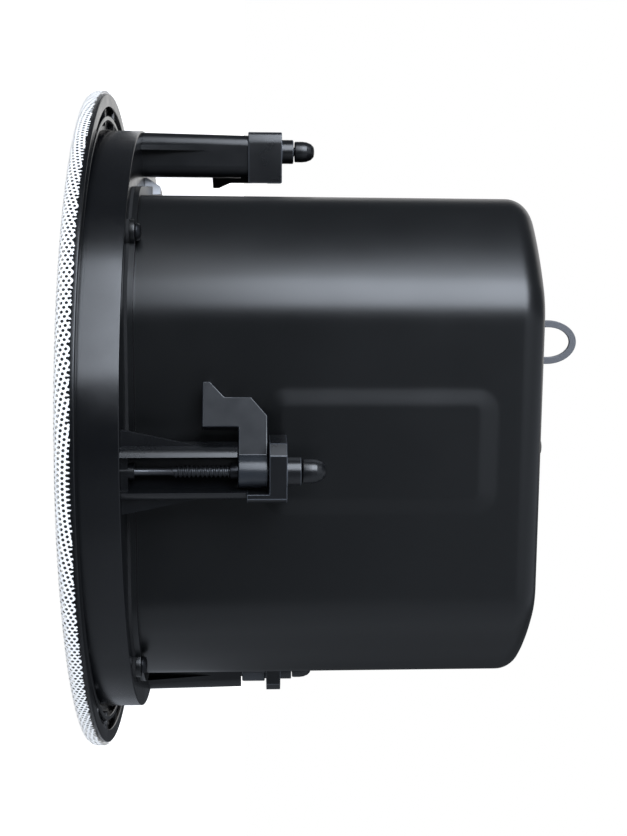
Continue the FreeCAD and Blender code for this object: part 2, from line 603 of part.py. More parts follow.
def make_driver_screw():
    """Screw through the basket's ring into the rear wall."""
    body = rod(DRIVER_SCREW_HEAD_R, BASKET_FRONT_Z - DRIVER_SCREW_HEAD, BASKET_FRONT_Z)
    body = body.fuse(rod(DRIVER_SCREW_R, BASKET_FRONT_Z, WALL_FRONT_Z + REAR_WALL * 0.8)).removeSplitter()
    body.translate(V(DRIVER_SCREW_CIRCLE, 0, 0))
    return body


def make_surround():
    """Half-roll rubber edge between the cone and the basket."""
    outer = CONE_R + 2 * SURROUND_ROLL_R
    middle = CONE_R + SURROUND_ROLL_R
    z = BASKET_FRONT_Z - SURROUND_SHEET
    roll = []
    for k in range(9):
        turn = math.pi * k / 8
        roll.append((middle - SURROUND_ROLL_R * math.cos(turn), z - SURROUND_ROLL_R * math.sin(turn)))
    under = [(r, height + SURROUND_SHEET) for r, height in reversed(roll)]
    edge = [(outer + SURROUND_SEAT, z), (outer + SURROUND_SEAT, z + SURROUND_SHEET)]
    return revolve(roll + edge + under)


def make_cone():
    """Paper cone with a straight neck."""
    z0 = BASKET_FRONT_Z
    z1 = z0 + CONE_DEPTH
    return revolve([(CONE_R, z0), (CONE_NECK_R, z1), (CONE_NECK_R, z1 + CONE_PAPER),
                    (CONE_NECK_R + CONE_PAPER, z1 + CONE_PAPER), (CONE_R, z0 + CONE_PAPER * 1.6)])


def make_coil():
    """Voice coil former with its winding as one tube."""
    z1 = BASKET_FRONT_Z + CONE_DEPTH + CONE_PAPER
    return tube(CONE_NECK_R, COIL_R, z1 - CONE_PAPER, z1 - CONE_PAPER + COIL_LENGTH)


def make_spider():
    """Corrugated cloth that centres the coil."""
    top = []
    for k in range(SPIDER_FOLDS + 1):
        radius = CONE_NECK_R + (SPIDER_R - CONE_NECK_R) * k / SPIDER_FOLDS
        top.append((radius, SPIDER_Z + SPIDER_FOLD * (k % 2)))
    under = [(radius, height - SPIDER_CLOTH) for radius, height in reversed(top)]
    return revolve(top + under)


def make_spider_seat():
    """Ring that carries the spider on the basket's floor."""
    floor_z = BASKET_FRONT_Z + BASKET_DEPTH
    return tube(SPIDER_R + 3 * BASKET_SHEET, SPIDER_R, SPIDER_Z - SPIDER_CLOTH, floor_z)


def make_yoke():
    """Back plate and pole in one turned piece."""
    tip_z = TOP_PLATE_Z - BASKET_SHEET
    return revolve([(POST_R, tip_z), (POLE_R, tip_z), (POLE_R, YOKE_Z), (YOKE_R, YOKE_Z),
                    (YOKE_R, YOKE_Z + YOKE), (POST_R, YOKE_Z + YOKE)])


def make_tweeter_body():
    """Tweeter housing with a shallow horn mouth."""
    z0, z1 = TWEETER_FRONT_Z, TWEETER_FRONT_Z + TWEETER_DEPTH
    return revolve([(DOME_R, z0 + DOME_RISE + 1), (TWEETER_R - 2, z0), (TWEETER_R, z0), (TWEETER_R, z1 - 3),
                    (TWEETER_R - 3, z1), (0, z1), (0, z0 + DOME_RISE + 3), (DOME_R, z0 + DOME_RISE + 3)])


def make_dome():
    """Tweeter dome in the horn's throat."""
    z = TWEETER_FRONT_Z + DOME_RISE + 3
    turns = [math.pi / 2 * k / 6 for k in range(6)]
    arc = [(DOME_R * math.cos(turn), z - DOME_RISE * math.sin(turn)) for turn in turns]
    return revolve(arc + [(0, z - DOME_RISE), (0, z)])


def make_core():
    """Laminated core of the line transformer."""
    z1 = CAN_INNER_REAR_Z
    body = block(-CORE_X / 2, CORE_X / 2, CORE_OFFSET_Y - CORE_Y / 2,
                 CORE_OFFSET_Y + CORE_Y / 2, z1 - CORE_Z, z1)
    window = block(-CORE_X / 2 + WINDING_MARGIN, CORE_X / 2 - WINDING_MARGIN, CORE_OFFSET_Y - CORE_Y,
                   CORE_OFFSET_Y + CORE_Y, z1 - CORE_Z + WINDING_MARGIN, z1 - WINDING_MARGIN)
    return body.cut(window)


def make_winding():
    """Coil through the core's window."""
    z1 = CAN_INNER_REAR_Z
    reach = CORE_Y / 2 + WINDING_OUT
    return block(-CORE_X / 2 + WINDING_MARGIN, CORE_X / 2 - WINDING_MARGIN, CORE_OFFSET_Y - reach,
                 CORE_OFFSET_Y + reach, z1 - CORE_Z + WINDING_MARGIN, z1 - WINDING_MARGIN)


def board_z():
    """Underside of the crossover board."""
    return CAN_INNER_REAR_Z - TERMINAL_Z - BOARD_SHEET


def make_board():
    """Crossover board on four posts."""
    z = board_z()
    return block(-BOARD_X / 2, BOARD_X / 2, BOARD_OFFSET_Y - BOARD_Y / 2,
                 BOARD_OFFSET_Y + BOARD_Y / 2, z, z + BOARD_SHEET)


def make_board_posts():
    """Posts between the board and the can's rear wall."""
    posts = []
    for side_x in (-1, 1):
        for side_y in (-1, 1):
            posts.append(rod(BOARD_POST_R, board_z() + BOARD_SHEET, CAN_INNER_REAR_Z,
                             side_x * (BOARD_X / 2 - BOARD_INSET),
                             BOARD_OFFSET_Y + side_y * (BOARD_Y / 2 - BOARD_INSET)))
    return posts


def make_inductor():
    """Air-core inductor standing on the board."""
    z = board_z()
    body = tube(INDUCTOR_R, INDUCTOR_HOLE_R, z - INDUCTOR_HEIGHT, z)
    body.translate(V(-BOARD_X / 4, BOARD_OFFSET_Y, 0))
    return body


def make_capacitors():
    """Two capacitors standing on the board."""
    z = board_z()
    apart = CAPACITOR_R + CAPACITOR_GAP / 2
    return [rod(CAPACITOR_R, z - CAPACITOR_LENGTH, z, BOARD_X / 4, BOARD_OFFSET_Y + side * apart)
            for side in (-1, 1)]


def make_terminal():
    """Terminal block under the wiring cover."""
    z1 = CAN_INNER_REAR_Z
    return block(COVER_X - TERMINAL_X / 2, COVER_X + TERMINAL_X / 2, COVER_Y - TERMINAL_Y / 2,
                 COVER_Y + TERMINAL_Y / 2, z1 - TERMINAL_Z, z1)


def build():
    """Every node of the loudspeaker by name."""
    nodes = {"grille": make_grille(), "baffle": make_baffle(), "back_can": make_can(),
             "can_gasket": lip_sheet(COLLAR_REAR_Z, CAN_LIP_Z),
             "can_screws": on_circle(make_can_screw(), CLAMP_COUNT, 45.0),
             "can_webs": on_circle(make_web(), CLAMP_COUNT),
             "safety_eye": make_eye(), "eye_rivets": make_rivets(),
             "wiring_cover": make_cover(), "cover_screws": make_cover_screws(),
             "terminal_block": make_terminal(),
             "woofer_basket": make_basket(), "woofer_gasket": make_driver_gasket(),
             "woofer_screws": on_circle(make_driver_screw(), CLAMP_COUNT, 45.0),
             "woofer_surround": make_surround(), "woofer_cone": make_cone(), "voice_coil": make_coil(),
             "spider": make_spider(), "spider_seat": make_spider_seat(),
             "top_plate": tube(TOP_PLATE_R, COIL_R + COIL_WALL + COIL_GAP, TOP_PLATE_Z, MAGNET_Z),
             "magnet": tube(MAGNET_R, MAGNET_HOLE_R, MAGNET_Z, YOKE_Z), "yoke": make_yoke(),
             "tweeter_post": rod(POST_R, TWEETER_FRONT_Z + TWEETER_DEPTH, YOKE_Z + YOKE),
             "tweeter_body": make_tweeter_body(), "tweeter_dome": make_dome(),
             "transformer_core": make_core(), "transformer_winding": make_winding(),
             "crossover_board": make_board(), "board_posts": make_board_posts(),
             "inductor": make_inductor(), "capacitors": make_capacitors()}
    clamp = {"clamp_channel": make_channel(), "channel_cap": make_cap(), "clamp_screw": make_screw(),
             "screw_tip": make_tip(), "clamp_dog": make_dog(), "dog_nut": make_nut()}
    for name, shape in clamp.items():
        for k, copy in enumerate(on_circle(shape, CLAMP_COUNT)):
            nodes["%s_%d" % (name, k + 1)] = copy
    return nodes


os.makedirs("parts", exist_ok=True)
for node, shape in build().items():
    solid = Part.makeCompound(shape) if isinstance(shape, list) else shape
    solid.exportStep("parts/%s.step" % node)
    print(node, len(solid.Solids), solid.isValid(), round(solid.Volume / 1000.0, 2))
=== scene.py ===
"""In-ceiling loudspeaker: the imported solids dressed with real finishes, on a pale studio floor."""

import json
import logging
import math
from dataclasses import dataclass
from enum import Enum

import bpy
import numpy as np
from mathutils import Matrix, Vector

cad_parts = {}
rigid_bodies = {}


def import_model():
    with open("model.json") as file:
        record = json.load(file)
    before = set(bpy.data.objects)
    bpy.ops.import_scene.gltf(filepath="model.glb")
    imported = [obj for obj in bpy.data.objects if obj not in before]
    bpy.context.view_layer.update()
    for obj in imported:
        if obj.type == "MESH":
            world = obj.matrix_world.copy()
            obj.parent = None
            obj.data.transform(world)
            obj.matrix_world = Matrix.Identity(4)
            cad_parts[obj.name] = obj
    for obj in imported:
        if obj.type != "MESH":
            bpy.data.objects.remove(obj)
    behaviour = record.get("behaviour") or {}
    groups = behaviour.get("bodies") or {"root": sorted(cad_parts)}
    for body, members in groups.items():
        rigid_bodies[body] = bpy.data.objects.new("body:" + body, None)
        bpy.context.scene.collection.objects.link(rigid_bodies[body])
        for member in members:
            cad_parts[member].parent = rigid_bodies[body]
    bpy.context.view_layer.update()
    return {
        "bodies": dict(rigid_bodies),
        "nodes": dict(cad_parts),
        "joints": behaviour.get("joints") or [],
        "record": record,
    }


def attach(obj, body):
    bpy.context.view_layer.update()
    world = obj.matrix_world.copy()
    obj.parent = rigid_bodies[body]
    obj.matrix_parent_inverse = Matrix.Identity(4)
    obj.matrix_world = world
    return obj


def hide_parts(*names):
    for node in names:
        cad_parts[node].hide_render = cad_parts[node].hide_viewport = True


LOG = logging.getLogger("loudspeaker")
MM = 0.001
CLAMPS = (1, 2, 3, 4)
Point = tuple[float, float]
# A stage card: its name, the directions where it starts and ends, and its brightness
Card = tuple[str, float, float, float]
Socket = bpy.types.NodeSocket

# Points this close, in metres, are one point: on turned and rolled pieces, on a solid's mesh, on the sheet
SAME_POINT = 1e-6
SAME_NODE_POINT = 2e-6
SAME_SHEET_POINT = 1e-5
# On a solid's mesh, faces flatter than the first angle are one face, and edges past the second are rounded
FLAT_DEGREES = 0.6
SHARP_DEGREES = 34.0
# A rounded corner takes up at most this share of a side
SIDE_SHARE = 0.45

# The wave texture repeats in this much of its own coordinate
WAVE_PERIOD = 0.314
# Brushing draws the grain out along Z
BRUSHED_SCALE = (1.0, 1.0, 0.08)
# Noise values where the mottling is smoothest and roughest, and the least roughness that it reaches
MOTTLE_LOW, MOTTLE_HIGH = 0.3, 0.7
LEAST_ROUGHNESS = 0.02

# How the object lies before the lens: turned this far about its own axis, with the photograph's up and
# near directions written in the frame that the solids share.
TURN = math.radians(9.477)
SIDE_UP = Vector((math.cos(TURN), -math.sin(TURN), 0.0))
SIDE_NEAR = Vector((math.sin(TURN), math.cos(TURN), 0.0))
AXIS = Vector((0.0, 0.0, 1.0))


class Pattern(Enum):
    """How a finish breaks up its surface."""

    GRAIN = "fine even grain"
    BRUSHED = "grain drawn out along the axis"
    WOUND = "turns of wire side by side"
    LAYERED = "thin sheets stacked along X"


def to_linear(colour: str) -> tuple[float, float, float, float]:
    """Turn an sRGB hex colour into linear RGBA.

    Args:
        colour: six hex digits, with or without a leading hash.

    Returns:
        Linear red, green, blue and an alpha of 1.
    """
    digits = colour.lstrip("#")
    parts = [int(digits[k:k + 2], 16) / 255.0 for k in (0, 2, 4)]
    red, green, blue = [p / 12.92 if p <= 0.04045 else ((p + 0.055) / 1.055) ** 2.4 for p in parts]
    return red, green, blue, 1.0


def add_node(tree: bpy.types.NodeTree, kind: str, settings: dict | None = None,
             inputs: dict | None = None) -> bpy.types.Node:
    """Add a node with its settings, values and links.

    Args:
        tree: the node tree to add to.
        kind: the node's type name.
        settings: attributes of the node.
        inputs: input name or index to a value, or to the output socket that feeds it.

    Returns:
        The new node.
    """
    node = tree.nodes.new(kind)
    for name, value in (settings or {}).items():
        setattr(node, name, value)
    for name, value in (inputs or {}).items():
        if isinstance(value, Socket):
            tree.links.new(value, node.inputs[name])
        else:
            node.inputs[name].default_value = value
    return node


@dataclass(frozen=True)
class Finish:
    """A real material and how its surface was made.

    The mottling runs between two colours and moves the roughness by spread either way. The grain's width, the
    depth of its relief and the width of the mottling are in millimetres.
    """

    name: str
    colour: str
    second: str
    roughness: float
    spread: float = 0.06
    metallic: float = 0.0
    grain_mm: float = 0.6
    relief_mm: float = 0.012
    mottle_mm: float = 14.0
    ior: float = 1.5
    pattern: Pattern = Pattern.GRAIN

    def material(self) -> bpy.types.Material:
        """Make the material, or return it if it is already there.

        Returns:
            The Blender material of this finish.
        """
        found = bpy.data.materials.get(self.name)
        if found is not None:
            return found
        material = bpy.data.materials.new(self.name)
        material.use_nodes = True
        tree = material.node_tree
        tree.nodes.clear()
        place = add_node(tree, "ShaderNodeTexCoord").outputs["Object"]
        relief = self.relief(tree, place)
        clouds = add_node(tree, "ShaderNodeTexNoise",
                          inputs={"Vector": place, "Scale": 1.0 / (self.mottle_mm * MM), "Detail": 3.0})
        # The Mix node's colour sockets share their names with others, so they are given by number
        tint = add_node(tree, "ShaderNodeMix", {"data_type": "RGBA"},
                        {0: clouds.outputs[0], 6: to_linear(self.colour), 7: to_linear(self.second)})
        gloss = add_node(tree, "ShaderNodeMapRange",
                         inputs={"Value": clouds.outputs[0], "From Min": MOTTLE_LOW, "From Max": MOTTLE_HIGH,
                                 "To Min": max(LEAST_ROUGHNESS, self.roughness - self.spread),
                                 "To Max": self.roughness + self.spread})
        bump = add_node(tree, "ShaderNodeBump",
                        inputs={"Height": relief, "Distance": self.relief_mm * MM, "Strength": 1.0})
        shader = add_node(tree, "ShaderNodeBsdfPrincipled",
                          inputs={"Base Color": tint.outputs[2], "Roughness": gloss.outputs[0],
                                  "Metallic": self.metallic, "Normal": bump.outputs[0], "IOR": self.ior})
        add_node(tree, "ShaderNodeOutputMaterial", inputs={"Surface": shader.outputs[0]})
        return material

    def relief(self, tree: bpy.types.NodeTree, place: Socket) -> Socket:
        """Add the nodes of the surface's relief.

        Args:
            tree: the material's node tree.
            place: object coordinates.

        Returns:
            The height from 0 to 1.
        """
        per_metre = 1.0 / (self.grain_mm * MM)
        if self.pattern is Pattern.WOUND:
            return add_node(tree, "ShaderNodeTexWave", {"bands_direction": "Z", "wave_profile": "SIN"},
                            {"Vector": place, "Scale": per_metre * WAVE_PERIOD, "Distortion": 0.2}).outputs[1]
        if self.pattern is Pattern.LAYERED:
            return add_node(tree, "ShaderNodeTexWave", {"bands_direction": "X", "wave_profile": "SAW"},
                            {"Vector": place, "Scale": per_metre * WAVE_PERIOD}).outputs[1]
        if self.pattern is Pattern.BRUSHED:
            place = add_node(tree, "ShaderNodeMapping",
                             inputs={"Vector": place, "Scale": BRUSHED_SCALE}).outputs[0]
        return add_node(tree, "ShaderNodeTexNoise",
                        inputs={"Vector": place, "Scale": per_metre, "Detail": 2.0}).outputs[0]


# Powder coat on steel: an even white with a faint pebble and no shine
WHITE_COAT = Finish("white_powder_coat", "#e6e5e3", "#e1e0de", 0.55, grain_mm=0.35, relief_mm=0.02,
                    mottle_mm=40.0)
# Moulded ABS from a spark-eroded tool: satin black, a soft sheen and slight flow clouds
BLACK_ABS = Finish("moulded_black_abs", "#07080a", "#090a0c", 0.23, 0.04, grain_mm=0.5, relief_mm=0.006,
                   ior=1.44)
# The same plastic from a finer tool, as on the clamps: a shade paler, with a broad smooth sheen
POLISHED_ABS = Finish("polished_black_abs", "#0b0c0e", "#0d0e10", 0.3, 0.04, grain_mm=0.8, relief_mm=0.004)
# Bevelled edges of the clamp channels and caps: a painted highlight, much paler than the faces beside them
ABS_EDGE_HIGHLIGHT = Finish("abs_edge_painted_highlight", "#3a3d42", "#303337", 0.3, 0.04, grain_mm=0.8, relief_mm=0.004)
# Satin paint on drawn steel: nearly black with an orange-peel skin that softens the light
CAN_PAINT = Finish("satin_black_paint", "#060708", "#08090a", 0.33, 0.03, grain_mm=1.6, relief_mm=0.004,
                   mottle_mm=45.0)
# Closed-cell foam: dull and pitted
FOAM = Finish("closed_cell_foam", "#0c0c0d", "#151516", 0.9, grain_mm=0.7, relief_mm=0.12, mottle_mm=4.0)
# Black oxide on steel: thin, dark and slightly metallic
BLACK_OXIDE = Finish("black_oxide_steel", "#26272a", "#1a1b1d", 0.34, metallic=0.8, grain_mm=0.4)
# Zinc plate on sheet steel: pale grey, a little cloudy
ZINC = Finish("zinc_plated_sheet", "#e6e7ea", "#dcdde1", 0.42, 0.08, metallic=0.15, grain_mm=0.5,
              mottle_mm=6.0)
# Grey paint on a stamped strap: even and half dull
GREY_STRAP = Finish("painted_strap_steel", "#5f6064", "#555659", 0.45, metallic=0.2, grain_mm=0.5,
                    mottle_mm=5.0)
# Glass-filled nylon: dark grey, dull, with a fine fibre grain
GLASS_NYLON = Finish("glass_filled_nylon", "#15171a", "#121417", 0.6, 0.05, grain_mm=0.35, relief_mm=0.01,
                     mottle_mm=5.0, ior=1.36)
# The same nylon on the dogs' edges and round bosses: a smoother skin, coloured paler as a painted highlight
NYLON_EDGE_HIGHLIGHT = Finish("smoother_nylon_painted_highlight", "#202327", "#1b1e22", 0.3, 0.04, grain_mm=0.5, relief_mm=0.004)
# Dark passivated screw steel: a deep grey metal that glints along the thread
SCREW_STEEL = Finish("dark_screw_steel", "#3e4146", "#303337", 0.34, metallic=1.0, grain_mm=0.3,
                     relief_mm=0.004)
# Natural nylon of small fittings: plain grey and half dull
NATURAL_NYLON = Finish("natural_nylon", "#8d8f92", "#858789", 0.5, grain_mm=0.6)
# Epoxy paint on the stamped driver frame: black with a slight pebble
FRAME_EPOXY = Finish("black_epoxy_frame", "#1b1c1e", "#222326", 0.5, grain_mm=0.4, relief_mm=0.02)
# Moulded rubber edge: black, soft and dull
RUBBER = Finish("moulded_rubber", "#151516", "#1b1b1c", 0.62, grain_mm=0.5, relief_mm=0.01)
# Pressed paper pulp: dull, with long soft fibres
PAPER = Finish("pressed_paper_pulp", "#1c1c1d", "#262625", 0.85, grain_mm=1.2, relief_mm=0.06, mottle_mm=3.0)
# Enamelled copper wire, wound side by side: shiny orange-brown turns, drawn coarser than the wire to show
COPPER = Finish("enamelled_copper_wire", "#b8642c", "#9c4f22", 0.28, metallic=0.9, grain_mm=0.9,
                relief_mm=0.15, pattern=Pattern.WOUND)
# Resin-stiffened cotton: straw-coloured, rough and dull
COTTON = Finish("impregnated_cotton", "#c2a468", "#b1945a", 0.85, grain_mm=0.5, relief_mm=0.08, mottle_mm=3.0)
# Turned and plated steel of the magnet's plates: bright grey with fine drawn lines
PLATE_STEEL = Finish("plated_turned_steel", "#a4a7ab", "#94979b", 0.36, metallic=1.0, grain_mm=0.3,
                     relief_mm=0.006, pattern=Pattern.BRUSHED)
# Stacked transformer sheets: grey metal in even layers, drawn thicker than the sheets to show
LAMINATION = Finish("stacked_core_sheets", "#6f7276", "#5c5f62", 0.45, metallic=0.8, grain_mm=0.9,
                    relief_mm=0.1, pattern=Pattern.LAYERED)
# Sintered ferrite: dull charcoal with fine pores
FERRITE = Finish("sintered_ferrite", "#3b3b3d", "#464648", 0.7, grain_mm=0.5, relief_mm=0.03, mottle_mm=4.0)
# Thin polymer dome: smooth grey with a clear shine
DOME_FILM = Finish("polymer_dome_film", "#6d7075", "#63666b", 0.25, grain_mm=0.8, relief_mm=0.004)
# Solder-masked glass laminate: green, glossy and slightly uneven under the lacquer
LAMINATE = Finish("solder_masked_laminate", "#22603a", "#1c5431", 0.32, grain_mm=1.1, relief_mm=0.02,
                  mottle_mm=8.0)
# Wrapped film capacitor: brick red and smooth
CAPACITOR_FILM = Finish("wrapped_capacitor_film", "#8c3a33", "#7c322c", 0.35, grain_mm=0.8)

# Solids that keep their own mesh and only get a finish
PLAIN_NODES: dict[str, Finish] = {
    "can_gasket": FOAM, "eye_rivets": ZINC, "terminal_block": NATURAL_NYLON, "woofer_basket": FRAME_EPOXY,
    "woofer_gasket": FOAM, "woofer_screws": BLACK_OXIDE, "woofer_surround": RUBBER, "woofer_cone": PAPER,
    "voice_coil": COPPER, "spider": COTTON, "spider_seat": FRAME_EPOXY, "top_plate": PLATE_STEEL,
    "magnet": FERRITE, "yoke": PLATE_STEEL, "tweeter_post": PLATE_STEEL, "tweeter_body": POLISHED_ABS,
    "tweeter_dome": DOME_FILM, "transformer_core": LAMINATION, "transformer_winding": COPPER,
    "crossover_board": LAMINATE, "board_posts": NATURAL_NYLON, "inductor": COPPER,
    "capacitors": CAPACITOR_FILM,
}


def pick(piece: bpy.types.Object) -> None:
    """Select one object alone and make it active.

    Args:
        piece: the object to select.
    """
    bpy.ops.object.select_all(action="DESELECT")
    piece.select_set(True)
    bpy.context.view_layer.objects.active = piece


def edit_all(piece: bpy.types.Object) -> None:
    """Open one object in edit mode with everything in it selected.

    Args:
        piece: the object to open.
    """
    pick(piece)
    bpy.ops.object.mode_set(mode="EDIT")
    bpy.ops.mesh.select_all(action="SELECT")


def close_edit() -> None:
    """Go back to object mode."""
    bpy.ops.object.mode_set(mode="OBJECT")


def added(name: str) -> bpy.types.Object:
    """Name the object that an operator has just added.

    Args:
        name: the name of the object and of its mesh.

    Returns:
        The object.
    """
    piece = bpy.context.object
    piece.name = name
    piece.data.name = name
    return piece


def finish_modifier(piece: bpy.types.Object, kind: str, **settings: object) -> None:
    """Add a modifier with its settings and apply it.

    Args:
        piece: the object to change.
        kind: the modifier's type.
        settings: the modifier's attributes.
    """
    pick(piece)
    bpy.ops.object.modifier_add(type=kind)
    modifier = piece.modifiers[-1]
    for name, value in settings.items():
        setattr(modifier, name, value)
    bpy.ops.object.modifier_apply(modifier=modifier.name)


def smooth(piece: bpy.types.Object, degrees: float = 32.0) -> None:
    """Shade smoothly over edges flatter than an angle."""
    pick(piece)
    bpy.ops.object.shade_smooth_by_angle(angle=math.radians(degrees))


def join(pieces: list[bpy.types.Object], name: str) -> bpy.types.Object:
    """Join several meshes into one object.

    Args:
        pieces: the objects, of which the first takes the others in.
        name: the joined object's name.

    Returns:
        The joined object.
    """
    bpy.ops.object.select_all(action="DESELECT")
    for piece in pieces:
        piece.select_set(True)
    bpy.context.view_layer.objects.active = pieces[0]
    bpy.ops.object.join()
    return added(name)


def rounded(corners: list[Point], radius: float, segments: int = 3) -> list[Point]:
    """Round the corners of a closed outline, as far as its sides allow, but not where it meets the axis.

    Args:
        corners: the outline's corners.
        radius: the wanted corner radius.
        segments: arc segments for each corner.

    Returns:
        The outline with arcs in place of its corners.
    """
    result: list[Point] = []
    count = len(corners)
    for index, corner in enumerate(corners):
        here = Vector(corner)
        to_last = Vector(corners[index - 1]) - here
        to_next = Vector(corners[(index + 1) % count]) - here
        if here.x <= 0.0:
            result.append(corner)
            continue
        half = to_last.angle(to_next) / 2
        longest = SIDE_SHARE * min(to_last.length, to_next.length)
        reach = min(radius / math.tan(half), longest)
        start, end = here + to_last.normalized() * reach, here + to_next.normalized() * reach
        for step in range(segments + 1):
            t = step / segments
            point = start * (1 - t) ** 2 + here * 2 * t * (1 - t) + end * t ** 2
            result.append((point.x, point.y))
    return result


def lathe(name: str, outline: list[Point], steps: int) -> bpy.types.Object:
    """Spin a closed outline about the Z axis.

    Args:
        name: the new object's name.
        outline: radius and height of each point, in millimetres.
        steps: steps round the axis.

    Returns:
        The turned object.
    """
    bpy.ops.object.select_all(action="DESELECT")
    bpy.ops.mesh.primitive_circle_add(vertices=len(outline), radius=0.01)
    piece = added(name)
    points = np.array([(r * MM, 0.0, z * MM) for r, z in outline], np.float32)
    piece.data.vertices.foreach_set("co", points.ravel())
    edit_all(piece)
    bpy.ops.mesh.spin(steps=steps, angle=2 * math.pi, center=(0, 0, 0), axis=(0, 0, 1))
    bpy.ops.mesh.select_all(action="SELECT")
    bpy.ops.mesh.remove_doubles(threshold=SAME_POINT)
    bpy.ops.mesh.delete_loose()
    bpy.ops.mesh.select_all(action="SELECT")
    bpy.ops.mesh.normals_make_consistent(inside=False)
    close_edit()
    return piece


def shifted(piece: bpy.types.Object, offset: Vector) -> bpy.types.Object:
    """Move a piece's mesh, and leave its object at the origin.

    Args:
        piece: the piece to move.
        offset: how far it moves, in metres.

    Returns:
        The piece.
    """
    edit_all(piece)
    bpy.ops.transform.translate(value=offset)
    close_edit()
    return piece


def turned_copy(piece: bpy.types.Object, name: str, degrees: float) -> bpy.types.Object:
    """Copy a piece with its own mesh, turned about the loudspeaker's axis.

    Args:
        piece: the piece to copy.
        name: the copy's name.
        degrees: how far the copy is turned.

    Returns:
        The copy, with its object at the origin.
    """
    pick(piece)
    bpy.ops.object.duplicate(linked=False)
    copy = added(name)
    copy.data.transform(Matrix.Rotation(math.radians(degrees), 4, "Z"))
    return copy


def softened_copy(frame: dict, node: str, name: str, edge_mm: float,
                  edge_highlight: Finish | None = None) -> bpy.types.Object:
    """Copy a solid's mesh and round its edges.

    Args:
        node: the solid to copy.
        name: the copy's name.
        edge_mm: width of the rounding.
        edge_highlight: the finish of the rounded edges where it differs from the rest, paler as a painted
            highlight.

    Returns:
        The copy, riding on nothing yet.
    """
    copy = bpy.data.objects.new(name, frame["nodes"][node].data.copy())
    copy.data.name = name
    copy.data.materials.clear()
    bpy.context.scene.collection.objects.link(copy)
    # Two slots: the bevel puts its faces in the second, with the paler edge finish of the painted highlight,
    # and dress() gives the first its own finish
    for _ in range(2 if edge_highlight else 0):
        copy.data.materials.append(edge_highlight.material())
    edit_all(copy)
    bpy.ops.mesh.remove_doubles(threshold=SAME_NODE_POINT)
    bpy.ops.mesh.dissolve_limited(angle_limit=math.radians(FLAT_DEGREES))
    close_edit()
    finish_modifier(copy, "BEVEL", width=edge_mm * MM, segments=2, limit_method="ANGLE",
                    angle_limit=math.radians(SHARP_DEGREES), use_clamp_overlap=True, miter_outer="MITER_ARC",
                    material=1 if edge_highlight else -1)
    smooth(copy, degrees=30.0)
    finish_modifier(copy, "WEIGHTED_NORMAL", keep_sharp=True, weight=60)
    return copy


def dress(piece: bpy.types.Object, finish: Finish, body: str, slot: str, *nodes: str) -> bpy.types.Object:
    """Give a piece its finish and its body, and hide the solids that it stands for.

    Args:
        piece: the new piece.
        finish: its finish.
        body: the body that it rides on.
        slot: the record's material slot; not used.
        nodes: the solids that it replaces.

    Returns:
        The piece.
    """
    if len(piece.data.materials) > 1:
        piece.data.materials[0] = finish.material()
    else:
        piece.data.materials.clear()
        piece.data.materials.append(finish.material())
    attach(piece, body)
    if nodes:
        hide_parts(*nodes)
    LOG.info("%s on %s: %d faces", piece.name, body, len(piece.data.polygons))
    return piece


